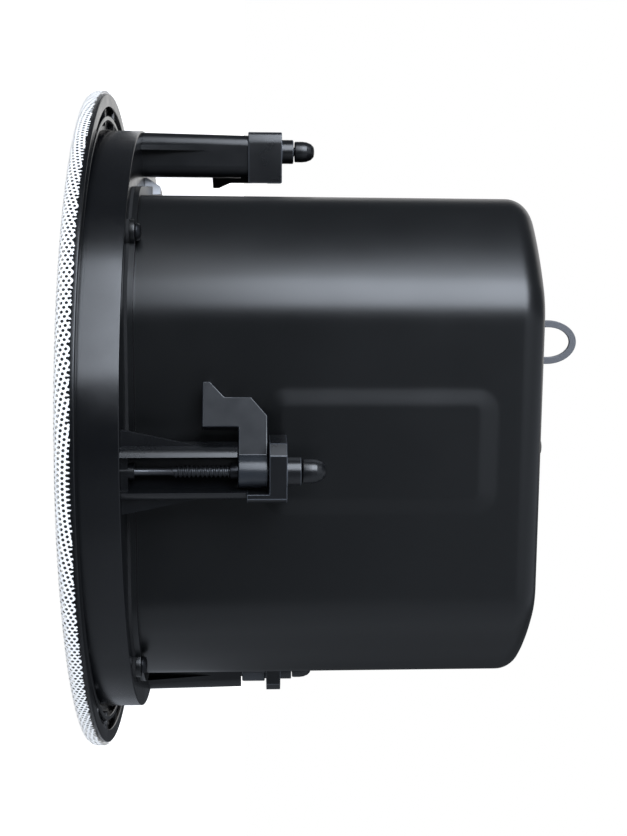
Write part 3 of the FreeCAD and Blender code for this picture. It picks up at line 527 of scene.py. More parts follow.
@dataclass
class Grille:
    """Perforated steel dish pressed over the flange. Sizes in millimetres.

    The sheet is punched with some spare columns and rows of holes, and trimmed to its blank.
    """

    radius: float = 125.0
    depth: float = 5.4
    edge_radius: float = 2.7
    pitch: float = 1.7
    hole: float = 0.98
    spare: int = 2

    def build(self) -> bpy.types.Object:
        """Punch the flat sheet, then press its rim over.

        Returns:
            The perforated dish.
        """
        sheet = self.punched_unit()
        flat = self.radius - self.edge_radius
        blank = flat + self.edge_radius * math.pi / 2 + self.depth - self.edge_radius
        across = 2 * (int(blank / self.pitch) + self.spare) + 1
        row = self.pitch * math.sqrt(0.75)
        pairs = int(blank / row) + self.spare
        self.repeat(sheet, across, (self.pitch, 0.0))
        edit_all(sheet)
        bpy.ops.mesh.duplicate_move(TRANSFORM_OT_translate={"value": (self.pitch / 2 * MM, row * MM, 0.0)})
        close_edit()
        self.repeat(sheet, pairs, (0.0, 2 * row))
        shifted(sheet, Vector((-(across // 2) * self.pitch * MM, -pairs * row * MM, 0.0)))
        self.trim(sheet, blank)
        self.press(sheet, flat)
        smooth(sheet, degrees=60.0)
        return sheet

    def punched_unit(self) -> bpy.types.Object:
        """One six-sided hole with the strips of sheet towards three of its neighbours.

        Returns:
            The unit that the whole sheet repeats.
        """
        bpy.ops.object.select_all(action="DESELECT")
        bpy.ops.mesh.primitive_circle_add(vertices=6, radius=self.hole / 2 / math.cos(math.pi / 6) * MM)
        unit = added("grille_sheet")
        gap = (self.pitch - self.hole) * MM
        for turn in (0.0, 60.0, 120.0):
            way = Vector((math.cos(math.radians(turn)), math.sin(math.radians(turn)), 0.0))
            nearest = sorted(unit.data.vertices[:6], key=lambda v, w=way: -v.co.dot(w))[:2]
            self.choose(unit, [v.index for v in nearest], "EDGE")
            bpy.ops.mesh.extrude_edges_move(TRANSFORM_OT_translate={"value": way * gap})
            close_edit()
        for turn in (30.0, 90.0):
            way = Vector((math.cos(math.radians(turn)), math.sin(math.radians(turn)), 0.0))
            middle = way * self.pitch / math.sqrt(3.0) * MM
            nearest = sorted(unit.data.vertices, key=lambda v, m=middle: (v.co - m).length)[:3]
            self.choose(unit, [v.index for v in nearest], "VERT")
            bpy.ops.mesh.edge_face_add()
            close_edit()
        edit_all(unit)
        bpy.ops.mesh.normals_make_consistent(inside=False)
        close_edit()
        return unit

    @staticmethod
    def choose(piece: bpy.types.Object, indices: list[int], kind: str) -> None:
        """Open a piece in edit mode with only some of its vertices selected.

        Args:
            piece: the object to open.
            indices: the vertices to select.
            kind: VERT or EDGE select mode.
        """
        pick(piece)
        bpy.ops.object.mode_set(mode="EDIT")
        bpy.ops.mesh.select_mode(type="VERT")
        bpy.ops.mesh.select_all(action="DESELECT")
        close_edit()
        for index in indices:
            piece.data.vertices[index].select = True
        bpy.ops.object.mode_set(mode="EDIT")
        bpy.ops.mesh.select_mode(type=kind)

    @staticmethod
    def repeat(piece: bpy.types.Object, count: int, step: Point) -> None:
        """Repeat a piece in a straight row."""
        finish_modifier(piece, "ARRAY", count=count, use_relative_offset=False, use_constant_offset=True,
                        constant_offset_displace=(step[0] * MM, step[1] * MM, 0.0))

    @staticmethod
    def trim(piece: bpy.types.Object, blank: float) -> None:
        """Cut the sheet to a round blank, through the holes at its edge.

        Args:
            piece: the punched sheet.
            blank: the blank's radius.
        """
        mesh = piece.data
        places = np.empty(len(mesh.vertices) * 3, np.float32)
        mesh.vertices.foreach_get("co", places)
        far = np.hypot(places[0::3], places[1::3]) > blank * MM
        Grille.choose(piece, [], "VERT")
        close_edit()
        mesh.vertices.foreach_set("select", far)
        bpy.ops.object.mode_set(mode="EDIT")
        bpy.ops.mesh.delete(type="VERT")
        bpy.ops.mesh.select_all(action="SELECT")
        bpy.ops.mesh.remove_doubles(threshold=SAME_SHEET_POINT)
        bpy.ops.mesh.delete_loose()
        bpy.ops.mesh.select_all(action="SELECT")
        bpy.ops.mesh.flip_normals()
        close_edit()

    def press(self, piece: bpy.types.Object, flat: float) -> None:
        """Bend the sheet's edge over: each point keeps its distance along the sheet from the middle.

        Args:
            piece: the round blank.
            flat: the radius where the bend starts.
        """
        mesh = piece.data
        places = np.empty(len(mesh.vertices) * 3, np.float32)
        mesh.vertices.foreach_get("co", places)
        x, y = places[0::3] / MM, places[1::3] / MM
        along = np.hypot(x, y)
        past = np.clip(along - flat, 0.0, None)
        turn = np.clip(past / self.edge_radius, 0.0, math.pi / 2)
        straight = np.clip(past - self.edge_radius * math.pi / 2, 0.0, None)
        reach = np.where(past > 0, flat + self.edge_radius * np.sin(turn), along)
        scale = reach / np.maximum(along, 1e-6)
        places[0::3], places[1::3] = x * scale * MM, y * scale * MM
        places[2::3] = (self.edge_radius * (1 - np.cos(turn)) + straight) * MM
        mesh.vertices.foreach_set("co", places)
        mesh.update()


@dataclass
class Baffle:
    """Moulded flange, collar and rear wall with a ribbed back. Sizes in millimetres."""

    radius: float = 123.8
    front_z: float = 1.3
    front_bevel: float = 2.7
    back_z: float = 3.5
    band: float = 4.6
    band_z: float = 6.4
    ring_radius: float = 115.0
    ring_width: float = 1.6
    ring_z: float = 5.9
    rib_count: int = 24
    rib_width: float = 1.5
    rib_z: float = 5.7
    rib_start: float = 112.5
    rib_sink: float = 1.0
    rib_edge: float = 0.35
    collar: float = 110.5
    collar_wall: float = 3.0
    rear_z: float = 18.5
    rear_wall: float = 3.0
    hole: float = 72.0
    edge: float = 0.45

    def build(self) -> bpy.types.Object:
        """Turn the moulding and set its radial ribs.

        Returns:
            The finished moulding.
        """
        inner, ring = self.collar - self.collar_wall, self.ring_width / 2
        wall_z = self.rear_z - self.rear_wall
        corners = [
            (inner, self.front_z), (self.radius - self.front_bevel, self.front_z),
            (self.radius, self.front_z + self.front_bevel),
            (self.radius, self.band_z), (self.radius - self.band, self.band_z),
            (self.radius - self.band, self.back_z), (self.ring_radius + ring, self.back_z),
            (self.ring_radius + ring, self.ring_z), (self.ring_radius - ring, self.ring_z),
            (self.ring_radius - ring, self.back_z), (self.collar, self.back_z), (self.collar, self.rear_z),
            (self.hole, self.rear_z), (self.hole, wall_z), (inner, wall_z)]
        body = lathe("baffle_moulding", rounded(corners, self.edge), steps=256)
        ribs = [self.rib()]
        for k in range(1, self.rib_count):
            ribs.append(turned_copy(ribs[0], "rib", 360.0 * k / self.rib_count))
        moulding = join([body] + ribs, "baffle_moulding")
        smooth(moulding, degrees=34.0)
        return moulding

    def rib(self) -> bpy.types.Object:
        """Make one radial rib with rounded edges, half a step round from the X axis.

        Returns:
            The rib.
        """
        start, end = self.rib_start * MM, (self.radius - self.band / 2) * MM
        low, high = (self.back_z - self.rib_sink) * MM, self.rib_z * MM
        bpy.ops.object.select_all(action="DESELECT")
        bpy.ops.mesh.primitive_cube_add(size=1.0)
        rib = added("rib")
        edit_all(rib)
        bpy.ops.transform.resize(value=(end - start, self.rib_width * MM, high - low))
        bpy.ops.mesh.bevel(offset=self.rib_edge * MM, segments=2, affect="EDGES")
        bpy.ops.mesh.select_all(action="SELECT")
        bpy.ops.transform.translate(value=((start + end) / 2, 0.0, (low + high) / 2))
        close_edit()
        rib.data.transform(Matrix.Rotation(math.pi / self.rib_count, 4, "Z"))
        return rib


@dataclass
class BackCan:
    """Drawn can: a round drum with four flats, a lip with ears and one raised panel. Sizes in millimetres.

    The wall has fine rows of points from fine_from to fine_past above the panel, and coarse ones elsewhere.
    panel_straight is the share of the panel's border that slopes evenly, and the rest of it is an S curve.
    """

    radius: float = 101.5
    flat: float = 86.5
    blend: float = 25.0
    lip_z: float = 19.5
    body_z: float = 21.3
    rear_z: float = 157.6
    draft: float = 0.2
    edge_radius: float = 8.8
    lip: float = 3.0
    wall: float = 1.6
    ear_radius: float = 105.4
    ear_half: float = 4.2
    ear_root: float = 1.0
    ear_edge: float = 0.3
    ear_steps: int = 8
    panel_half: float = 21.7
    panel_shift: float = 3.0
    panel_low: float = 63.0
    panel_high: float = 141.5
    panel_corner: float = 8.2
    panel_rise: float = 1.0
    panel_slope: float = 6.4
    panel_straight: float = 0.8
    panel_steps: int = 116
    flat_steps: int = 10
    blend_steps: int = 10
    round_steps: int = 22
    edge_steps: int = 12
    low_rows: tuple[float, ...] = (30.0, 40.0, 50.0, 58.0)
    fine_from: float = 60.0
    fine_past: float = 3.5
    fine_step: float = 0.85
    last_row: float = 147.0

    def outline(self, inset: float, grow: float = 0.0) -> np.ndarray:
        """Points round the drum, closest together on the +Y flat.

        Args:
            inset: how far the outline lies inside the drum's own.
            grow: how far it lies outside instead.

        Returns:
            One row of x and y for each point.
        """
        radius, flat = self.radius - inset + grow, self.flat - inset + grow
        blend = self.blend - inset + grow
        half = math.sqrt((radius - blend) ** 2 - (flat - blend) ** 2)
        meet = math.atan2(half, flat - blend)
        points: list[Point] = []
        for quarter in range(4):
            side = []
            steps = self.panel_steps if quarter == 1 else self.flat_steps
            side += [(flat, -half + 2 * half * k / steps) for k in range(steps)]
            bend = [meet * k / self.blend_steps for k in range(self.blend_steps)]
            side += [(flat - blend + blend * math.cos(a), half + blend * math.sin(a)) for a in bend]
            span = math.pi / 2 - 2 * meet
            drum = [meet + span * k / self.round_steps for k in range(self.round_steps)]
            side += [(radius * math.cos(a), radius * math.sin(a)) for a in drum]
            last = math.pi / 2 - meet
            side += [(half + blend * math.cos(last + a), flat - blend + blend * math.sin(last + a))
                     for a in bend]
            turn = math.pi / 2 * quarter
            points += [(x * math.cos(turn) - y * math.sin(turn), x * math.sin(turn) + y * math.cos(turn))
                       for x, y in side]
        return np.array(points)

    def rise(self, x: np.ndarray, z: float) -> np.ndarray:
        """How far the panel stands out of the +Y flat at a height.

        Args:
            x: places across the flat.
            z: the height.

        Returns:
            The rise at each place.
        """
        middle = (self.panel_low + self.panel_high) / 2
        reach = (self.panel_high - self.panel_low) / 2 - self.panel_corner
        side = np.clip(np.abs(x - self.panel_shift) - self.panel_half + self.panel_corner, 0.0, None)
        end = max(0.0, abs(z - middle) - reach)
        from_edge = self.panel_corner - np.hypot(side, end)
        share = np.clip(from_edge / self.panel_slope, 0.0, 1.0)
        soft = share * share * (3 - 2 * share)
        return self.panel_rise * (self.panel_straight * share + (1 - self.panel_straight) * soft)

    def levels(self) -> list[Point]:
        """Heights up the wall with the inset there, ending round the rear edge.

        Returns:
            The height and the inset of each row of points.
        """
        taper = math.tan(math.radians(self.draft))
        shoulder = self.rear_z - self.edge_radius
        heights = [self.lip_z, *self.low_rows]
        heights += list(np.arange(self.fine_from, self.panel_high + self.fine_past, self.fine_step))
        heights += [self.last_row, shoulder]
        rows = [(z, taper * (z - self.body_z)) for z in heights]
        base = taper * (shoulder - self.body_z)
        for k in range(1, self.edge_steps + 1):
            turn = math.pi / 2 * k / self.edge_steps
            rows.append((shoulder + self.edge_radius * math.sin(turn),
                         base + self.edge_radius * (1 - math.cos(turn))))
        return rows

    def build(self) -> bpy.types.Object:
        """Roll a grid into the drum, close its rear and add the lip and ears.

        Returns:
            The finished can.
        """
        rows = self.levels()
        columns = len(self.outline(0.0))
        bpy.ops.object.select_all(action="DESELECT")
        bpy.ops.mesh.primitive_grid_add(x_subdivisions=columns, y_subdivisions=len(rows) - 1, size=1.0)
        shell = added("can_shell")
        places = np.empty((len(rows), columns + 1, 3), np.float32)
        for index, (z, inset) in enumerate(rows):
            ring = self.outline(inset)
            near = (ring[:, 1] > 0) & (np.abs(ring[:, 0]) < self.panel_half + abs(self.panel_shift))
            ring[near, 1] += self.rise(ring[near, 0], z)
            places[index, :columns, :2] = ring * MM
            places[index, columns, :2] = ring[0] * MM
            places[index, :, 2] = z * MM
        shell.data.vertices.foreach_set("co", places.ravel())
        edit_all(shell)
        bpy.ops.mesh.remove_doubles(threshold=SAME_POINT)
        bpy.ops.mesh.select_all(action="DESELECT")
        close_edit()
        for vertex in shell.data.vertices:
            vertex.select = vertex.co.z > self.rear_z * MM - SAME_POINT
        bpy.ops.object.mode_set(mode="EDIT")
        bpy.ops.mesh.edge_face_add()
        bpy.ops.mesh.select_all(action="SELECT")
        bpy.ops.mesh.normals_make_consistent(inside=False)
        close_edit()
        can = join([shell, self.lip_ring()] + self.ears(), "can_shell")
        smooth(can, degrees=40.0)
        finish_modifier(can, "WEIGHTED_NORMAL", keep_sharp=True, weight=50)
        return can

    def lip_ring(self) -> bpy.types.Object:
        """Make the flat lip round the can's mouth.

        Returns:
            The lip.
        """
        outside, inside = self.outline(0.0, self.lip), self.outline(self.wall)
        thick = (self.body_z - self.lip_z) * MM
        bpy.ops.object.select_all(action="DESELECT")
        bpy.ops.mesh.primitive_circle_add(vertices=len(outside), radius=0.1)
        ring = added("can_lip")
        points = np.column_stack([outside * MM, np.full(len(outside), self.lip_z * MM)]).astype(np.float32)
        ring.data.vertices.foreach_set("co", points.ravel())
        edit_all(ring)
        bpy.ops.mesh.extrude_edges_move(TRANSFORM_OT_translate={"value": (0, 0, thick)})
        bpy.ops.mesh.extrude_edges_move(TRANSFORM_OT_translate={"value": (0, 0, 0)})
        close_edit()
        inner = np.column_stack([inside * MM, np.full(len(inside), self.body_z * MM)])
        chosen = [v for v in ring.data.vertices if v.select]
        for vertex in chosen:
            apart = np.hypot(outside[:, 0] * MM - vertex.co.x, outside[:, 1] * MM - vertex.co.y)
            vertex.co = inner[int(np.argmin(apart))]
        edit_all(ring)
        bpy.ops.mesh.normals_make_consistent(inside=False)
        close_edit()
        return ring

    def ears(self) -> list[bpy.types.Object]:
        """Make four rounded screw ears between the clamps.

        Returns:
            The ears.
        """
        root, thick = self.radius - self.ear_root, (self.body_z - self.lip_z) * MM
        outline = [(root, -self.ear_half), (self.ear_radius, -self.ear_half)]
        outline += [(self.ear_radius + self.ear_half * math.cos(a), self.ear_half * math.sin(a))
                    for a in np.linspace(-math.pi / 2, math.pi / 2, self.ear_steps + 1)[1:-1]]
        outline += [(self.ear_radius, self.ear_half), (root, self.ear_half)]
        bpy.ops.object.select_all(action="DESELECT")
        bpy.ops.mesh.primitive_circle_add(vertices=len(outline), radius=0.01, fill_type="NGON")
        ear = added("can_ear")
        points = np.array([(x * MM, y * MM, self.lip_z * MM) for x, y in outline], np.float32)
        ear.data.vertices.foreach_set("co", points.ravel())
        edit_all(ear)
        bpy.ops.mesh.extrude_region_move(TRANSFORM_OT_translate={"value": (0, 0, thick)})
        bpy.ops.mesh.select_all(action="SELECT")
        bpy.ops.mesh.normals_make_consistent(inside=False)
        close_edit()
        finish_modifier(ear, "BEVEL", width=self.ear_edge * MM, segments=2, limit_method="ANGLE")
        ear.data.transform(Matrix.Rotation(math.pi / 4, 4, "Z"))
        return [ear] + [turned_copy(ear, "can_ear", 90.0 * k) for k in (1, 2, 3)]


@dataclass
class Fasteners:
    """Pan-head screws with a cross recess. Sizes in millimetres.

    profile gives shares of a head's radius and height. recess gives the length and width of a cut as shares
    of the radius, then its depth and the height of its middle as shares of the head's height.
    """

    can_head: float = 3.0
    can_rise: float = 1.9
    can_place: Point = (105.4, 21.3)
    cover_head: float = 3.2
    cover_rise: float = 1.8
    cover_places: tuple[Point, Point] = ((0.0, 5.0), (0.0, 61.0))
    cover_z: float = 159.6
    cover_turn: float = 20.0
    profile: tuple[Point, ...] = ((1.0, 0.0), (1.0, 0.35), (0.82, 0.85), (0.45, 1.0))
    edge: float = 0.25
    recess: tuple[float, float, float, float] = (1.1, 0.26, 1.2, 1.05)

    def head(self, name: str, radius: float, rise: float) -> bpy.types.Object:
        """Turn one head and cut its recess.

        Args:
            name: the new object's name.
            radius: the head's radius.
            rise: the head's height.

        Returns:
            The head, standing on the origin.
        """
        outline = [(0.0, 0.0), *((radius * r, rise * z) for r, z in self.profile), (0.0, rise)]
        screw = lathe(name, rounded(outline, self.edge), steps=32)
        length, width, depth, middle = self.recess
        for turn in (0.0, math.pi / 2):
            bpy.ops.object.select_all(action="DESELECT")
            bpy.ops.mesh.primitive_cube_add(size=1.0)
            blade = added("recess")
            edit_all(blade)
            bpy.ops.transform.resize(value=(radius * length * MM, radius * width * MM, rise * depth * MM))
            bpy.ops.transform.translate(value=(0, 0, rise * middle * MM))
            close_edit()
            blade.data.transform(Matrix.Rotation(turn, 4, "Z"))
            finish_modifier(screw, "BOOLEAN", operation="DIFFERENCE", object=blade, solver="EXACT")
            bpy.data.objects.remove(blade)
        smooth(screw, degrees=35.0)
        return screw

    def build(self) -> tuple[bpy.types.Object, bpy.types.Object]:
        """Make the can's four screws and the cover's two.

        Returns:
            The can's screws and the cover's screws.
        """
        first = self.head("can_screw_heads", self.can_head, self.can_rise)
        shifted(first, Vector((self.can_place[0] * MM, 0.0, self.can_place[1] * MM)))
        heads = [turned_copy(first, "head", 45.0 + 90.0 * k) for k in CLAMPS]
        bpy.data.objects.remove(first)
        can = join(heads, "can_screw_heads")
        first = self.head("cover_screw_heads", self.cover_head, self.cover_rise)
        heads = []
        for x, y in self.cover_places:
            place = Vector((x * MM, y * MM, self.cover_z * MM))
            heads.append(shifted(turned_copy(first, "head", self.cover_turn + y), place))
        bpy.data.objects.remove(first)
        return can, join(heads, "cover_screw_heads")


@dataclass
class Clamp:
    """One swing-out clamp: channel, cap, dog, insert, screw and tip. Sizes in millimetres.

    A dog's face belongs to its boss when it lies within boss_gap of boss_radius and faces outwards by more
    than boss_facing. tip_profile gives shares of the tip's radius and how far below its end each one lies.
    """

    axis_radius: float = 103.2
    screw_radius: float = 1.95
    shank_radius: float = 1.25
    root_radius: float = 1.45
    boss_radius: float = 5.3
    boss_gap: float = 0.12
    boss_facing: float = 0.94
    head_radius: float = 3.9
    head_face: float = 0.7
    head_bevel: float = 1.0
    head_depth: float = 2.6
    head_z: float = 12.85
    shoulder_z: float = 22.5
    thread_z: float = 34.6
    run_out: float = 0.4
    end_z: float = 79.6
    pitch: float = 1.4
    root_half: float = 0.16
    crest_half: float = 0.09
    thread_sink: float = 0.05
    tip_radius: float = 3.9
    tip_z: float = 75.7
    tip_end_z: float = 83.3
    tip_profile: tuple[Point, ...] = ((1.0, 4.6), (0.95, 3.0), (0.78, 1.3), (0.5, 0.25), (0.2, 0.0))
    channel_edge: float = 0.35
    cap_edge: float = 0.4
    dog_edge: float = 0.35
    insert_edge: float = 0.15

    def screw(self) -> bpy.types.Object:
        """Turn the screw's body and wind its thread, at the +X clamp.

        Returns:
            The screw with its thread.
        """
        under = self.head_z + self.head_depth
        outline = [(0.0, self.head_z), (self.head_radius * self.head_face, self.head_z),
                   (self.head_radius, self.head_z + self.head_bevel), (self.head_radius, under),
                   (self.screw_radius, under), (self.screw_radius, self.shoulder_z),
                   (self.shank_radius, self.shoulder_z), (self.shank_radius, self.thread_z - self.run_out),
                   (self.root_radius, self.thread_z), (self.root_radius, self.end_z), (0.0, self.end_z)]
        body = lathe("clamp_screw", rounded(outline, radius=0.2, segments=2), steps=24)
        bpy.ops.object.select_all(action="DESELECT")
        bpy.ops.mesh.primitive_plane_add(size=0.01)
        thread = added("thread")
        low, high, mid = self.root_radius - self.thread_sink, self.screw_radius, self.pitch / 2
        corners = [(low, self.root_half), (high, mid - self.crest_half), (low, self.pitch - self.root_half),
                   (high, mid + self.crest_half)]
        for vertex, (r, z) in zip(thread.data.vertices, corners):
            vertex.co = (r * MM, 0.0, (self.thread_z + z) * MM)
        turns = int((self.end_z - self.thread_z) / self.pitch) - 1
        finish_modifier(thread, "SCREW", angle=2 * math.pi, screw_offset=self.pitch * MM, iterations=turns,
                        steps=20, render_steps=20, axis="Z", use_merge_vertices=True,
                        merge_threshold=SAME_POINT)
        edit_all(thread)
        bpy.ops.mesh.remove_doubles(threshold=SAME_POINT)
        bpy.ops.mesh.normals_make_consistent(inside=False)
        close_edit()
        screw = join([body, thread], "clamp_screw")
        smooth(screw, degrees=36.0)
        return shifted(screw, Vector((self.axis_radius * MM, 0.0, 0.0)))

    def tip(self) -> bpy.types.Object:
        """Turn the domed end piece, at the +X clamp.

        Returns:
            The end piece.
        """
        dome = [(self.tip_radius * share, self.tip_end_z - below) for share, below in self.tip_profile]
        outline = [(0.0, self.tip_z), (self.tip_radius, self.tip_z), *dome, (0.0, self.tip_end_z)]
        tip = lathe("screw_tip", rounded(outline, radius=0.5), steps=32)
        smooth(tip, degrees=40.0)
        return shifted(tip, Vector((self.axis_radius * MM, 0.0, 0.0)))

    def paint_boss_highlight(self, dog: bpy.types.Object, turn: float) -> None:
        """Give the round boss of a dog the smoother, paler finish of its edges, as a painted highlight.

        Args:
            dog: the dressed dog.
            turn: direction of its clamp, in degrees.
        """
        centre = Matrix.Rotation(math.radians(turn), 3, "Z") @ Vector((self.axis_radius * MM, 0.0, 0.0))
        for face in dog.data.polygons:
            out = face.center - centre
            out.z = 0.0
            near = abs(out.length - self.boss_radius * MM) < self.boss_gap * MM
            if near and out.normalized().dot(face.normal) > self.boss_facing:
                face.material_index = 1

    def build(self, frame: dict) -> None:
        """Make and dress all four clamps.
        """
        screw, tip = self.screw(), self.tip()
        for k in CLAMPS:
            turn = 90.0 * (k - 1)
            # Channels, caps and dogs get paler finishes on their bevels, and dogs on their bosses: painted
            # highlights
            channel = softened_copy(frame, f"clamp_channel_{k}", f"channel_{k}", self.channel_edge,
                                    ABS_EDGE_HIGHLIGHT)
            dress(channel, POLISHED_ABS, "body", "black_abs", f"clamp_channel_{k}")
            cap = softened_copy(frame, f"channel_cap_{k}", f"cap_{k}", self.cap_edge, ABS_EDGE_HIGHLIGHT)
            dress(cap, POLISHED_ABS, "body", "black_abs", f"channel_cap_{k}")
            dog = softened_copy(frame, f"clamp_dog_{k}", f"dog_{k}_arm", self.dog_edge, NYLON_EDGE_HIGHLIGHT)
            self.paint_boss_highlight(dress(dog, GLASS_NYLON, f"dog_{k}", "dog_nylon", f"clamp_dog_{k}"), turn)
            insert = softened_copy(frame, f"dog_nut_{k}", f"insert_{k}", self.insert_edge)
            dress(insert, BLACK_OXIDE, f"dog_{k}", "dark_screw_steel", f"dog_nut_{k}")
            dress(turned_copy(screw, f"screw_{k}_rod", turn), SCREW_STEEL, f"screw_{k}", "dark_screw_steel",
                  f"clamp_screw_{k}")
            dress(turned_copy(tip, f"screw_{k}_end", turn), POLISHED_ABS, f"screw_{k}", "black_abs",
                  f"screw_tip_{k}")
        bpy.data.objects.remove(screw)
        bpy.data.objects.remove(tip)


@dataclass
class Housing:
    """Everything that stays with the ceiling: grille, moulding, can and fittings. Edges in millimetres."""

    grille: Grille
    baffle: Baffle
    can: BackCan
    fasteners: Fasteners
    web_edge: float = 0.25
    strap_edge: float = 0.3
    cover_edge: float = 0.4

    def build(self, frame: dict) -> None:
        """Make and dress the fixed pieces.
        """
        dress(self.grille.build(), WHITE_COAT, "body", "white_grille", "grille")
        dress(self.baffle.build(), BLACK_ABS, "body", "black_abs", "baffle")
        dress(self.can.build(), CAN_PAINT, "body", "can_paint", "back_can")
        can_heads, cover_heads = self.fasteners.build()
        dress(can_heads, BLACK_OXIDE, "body", "black_steel", "can_screws")
        dress(cover_heads, BLACK_OXIDE, "body", "black_steel", "cover_screws")
        webs = softened_copy(frame, "can_webs", "lip_webs", self.web_edge)
        dress(webs, ZINC, "body", "zinc_steel", "can_webs")
        strap = softened_copy(frame, "safety_eye", "safety_strap", self.strap_edge)
        dress(strap, GREY_STRAP, "body", "zinc_steel", "safety_eye")
        cover = softened_copy(frame, "wiring_cover", "rear_cover", self.cover_edge)
        dress(cover, BLACK_ABS, "body", "black_abs", "wiring_cover")
        for node, finish in PLAIN_NODES.items():
            solid = frame["nodes"][node]
            solid.data.materials.clear()
            solid.data.materials.append(finish.material())
            LOG.info("%s finished as %s", node, finish.name)


@dataclass(frozen=True)
class SoftBox:
    """A rectangular lamp that faces the axis. Lengths in metres.

    degrees is its direction, from the near side towards up. place is its distance from the axis and its
    height above the floor, and size its width round the axis and its length along it. A lamp that is not
    reflected lights the pieces and shows in none of them.
    """

    name: str
    degrees: float
    place: Point
    size: Point
    watts: float
    reflected: bool = True


@dataclass
class Studio:
    """Floor, dark tent, lamps and camera. Lengths in metres, or in millimetres where a name says so."""

    lens_mm: float = 57.08
    sensor_mm: float = 36.0
    clip: Point = (0.01, 50.0)
    distance_mm: float = 524.15
    height_mm: float = 60.6
    yaw: float = 0.0442
    tent_radius: float = 1.5
    tent_height: float = 2.4
    roof_eye_mm: float = 1.0
    roof_share: float = 1.1
    floor_hole: float = 0.1235
    floor_reach: float = 7.0
    floor_mm: float = -0.4
    floor_colour: str = "#d8d8d8"
    floor_glow: float = 0.92
    flag_radius: float = 0.14
    flag_mm: float = 1.0
    near_reach: float = 0.26
    cool: tuple[float, float, float] = (0.82, 0.89, 1.0)
    cloths: tuple[Card, ...] = (
        ("black_cloth", 184.0, 236.0, 0.09), ("grey_cloth_low", 236.0, 258.0, 0.24),
        ("grey_cloth_mid", 258.0, 272.0, 0.45), ("grey_cloth", 272.0, 318.0, 0.52),
        ("dim_cloth_low", 318.0, 338.0, 0.34), ("dim_cloth", 338.0, 348.0, 0.2),
        ("dark_cloth", 348.0, 374.0, 0.07), ("upper_cloth", 374.0, 496.0, 0.15))
    band_from: float = 0.62
    band_gap: float = 0.02
    bands: tuple[Card, ...] = (("band_cloth_low", 318.0, 338.0, 0.5), ("band_cloth", 338.0, 374.0, 0.8))
    roofs: tuple[Card, ...] = (("roof_low", 180.0, 370.0, 0.6), ("roof_up", 10.0, 180.0, 0.2))
    flags: tuple[Card, ...] = (
        ("flag_near", -45.0, 33.0, 0.03), ("flag_up", 64.0, 130.0, 0.12), ("flag_low", 184.0, 315.0, 0.45))
    near_flags: tuple[Card, ...] = (("flag_key", 33.0, 64.0, 0.15),)
    key: SoftBox = SoftBox("key", 36.5, (1.15, 0.41), (1.0, 0.7), 24.5)
    fill: SoftBox = SoftBox("fill", -62.0, (1.2, 0.3), (0.9, 0.7), 11.0, reflected=False)

    def build(self) -> None:
        """Set up the whole studio."""
        self.camera()
        self.floor()
        self.tent()
        self.lamps()
        self.world()
        bpy.context.scene.view_settings.view_transform = "Standard"
        LOG.info("studio ready")

    def camera(self) -> None:
        """Camera beside the near clamp, with the object's axis across the picture."""
        data = bpy.data.cameras.new("camera")
        data.lens, data.sensor_width = self.lens_mm, self.sensor_mm
        data.clip_start, data.clip_end = self.clip
        camera = bpy.data.objects.new("camera", data)
        bpy.context.scene.collection.objects.link(camera)
        right = AXIS * math.cos(self.yaw) + SIDE_NEAR * math.sin(self.yaw)
        back = SIDE_NEAR * math.cos(self.yaw) - AXIS * math.sin(self.yaw)
        place = SIDE_NEAR * self.distance_mm * MM + AXIS * self.height_mm * MM
        camera.matrix_world = Matrix.Translation(place) @ Matrix((right, SIDE_UP, back)).transposed().to_4x4()
        bpy.context.scene.camera = camera

    def floor(self) -> None:
        """Pale floor round the grille, white to the camera apart from the shadow, and clear from below."""
        level = self.floor_mm * MM
        floor = self.sector("floor", (0.0, 360.0), (self.floor_hole, level), (self.floor_reach, level))
        material = bpy.data.materials.new("pale_floor")
        material.use_nodes = True
        tree = material.node_tree
        tree.nodes.clear()
        ray = add_node(tree, "ShaderNodeLightPath")
        seen = ray.outputs["Is Camera Ray"]
        for kind in ("Is Glossy Ray", "Is Transmission Ray"):
            seen = add_node(tree, "ShaderNodeMath", {"operation": "MAXIMUM"},
                            {0: seen, 1: ray.outputs[kind]}).outputs[0]
        matt = add_node(tree, "ShaderNodeBsdfDiffuse", inputs={"Color": to_linear(self.floor_colour)})
        glow = add_node(tree, "ShaderNodeEmission",
                        inputs={"Color": (1, 1, 1, 1), "Strength": self.floor_glow})
        both = add_node(tree, "ShaderNodeAddShader", inputs={0: matt.outputs[0], 1: glow.outputs[0]})
        mix = add_node(tree, "ShaderNodeMixShader", inputs={0: seen, 1: matt.outputs[0], 2: both.outputs[0]})
        under = add_node(tree, "ShaderNodeNewGeometry").outputs["Backfacing"]
        clear = add_node(tree, "ShaderNodeBsdfTransparent")
        sided = add_node(tree, "ShaderNodeMixShader",
                         inputs={0: under, 1: mix.outputs[0], 2: clear.outputs[0]})
        add_node(tree, "ShaderNodeOutputMaterial", inputs={"Surface": sided.outputs[0]})
        floor.data.materials.append(material)

    def tent(self) -> None:
        """Cloth walls and a roof round the set, open to the white behind it, with flags on the floor."""
        top, level = self.tent_height, self.flag_mm * MM
        inside = self.tent_radius - self.band_gap
        walls = ((self.cloths, self.tent_radius, 0.0), (self.bands, inside, self.band_from))
        for cards, radius, low in walls:
            for name, first, last, strength in cards:
                self.glow(self.sector(name, (first, last), (radius, low), (radius, top)), strength)
        eye, eaves = (self.roof_eye_mm * MM, top), (self.tent_radius * self.roof_share, top)
        for name, first, last, strength in self.roofs:
            self.glow(self.sector(name, (first, last), eye, eaves), strength)
        for cards, reach in ((self.flags, self.tent_radius), (self.near_flags, self.near_reach)):
            for name, first, last, strength in cards:
                flag = self.sector(name, (first, last), (self.flag_radius, level), (reach, level))
                self.glow(flag, strength)
                flag.visible_diffuse = flag.visible_shadow = False

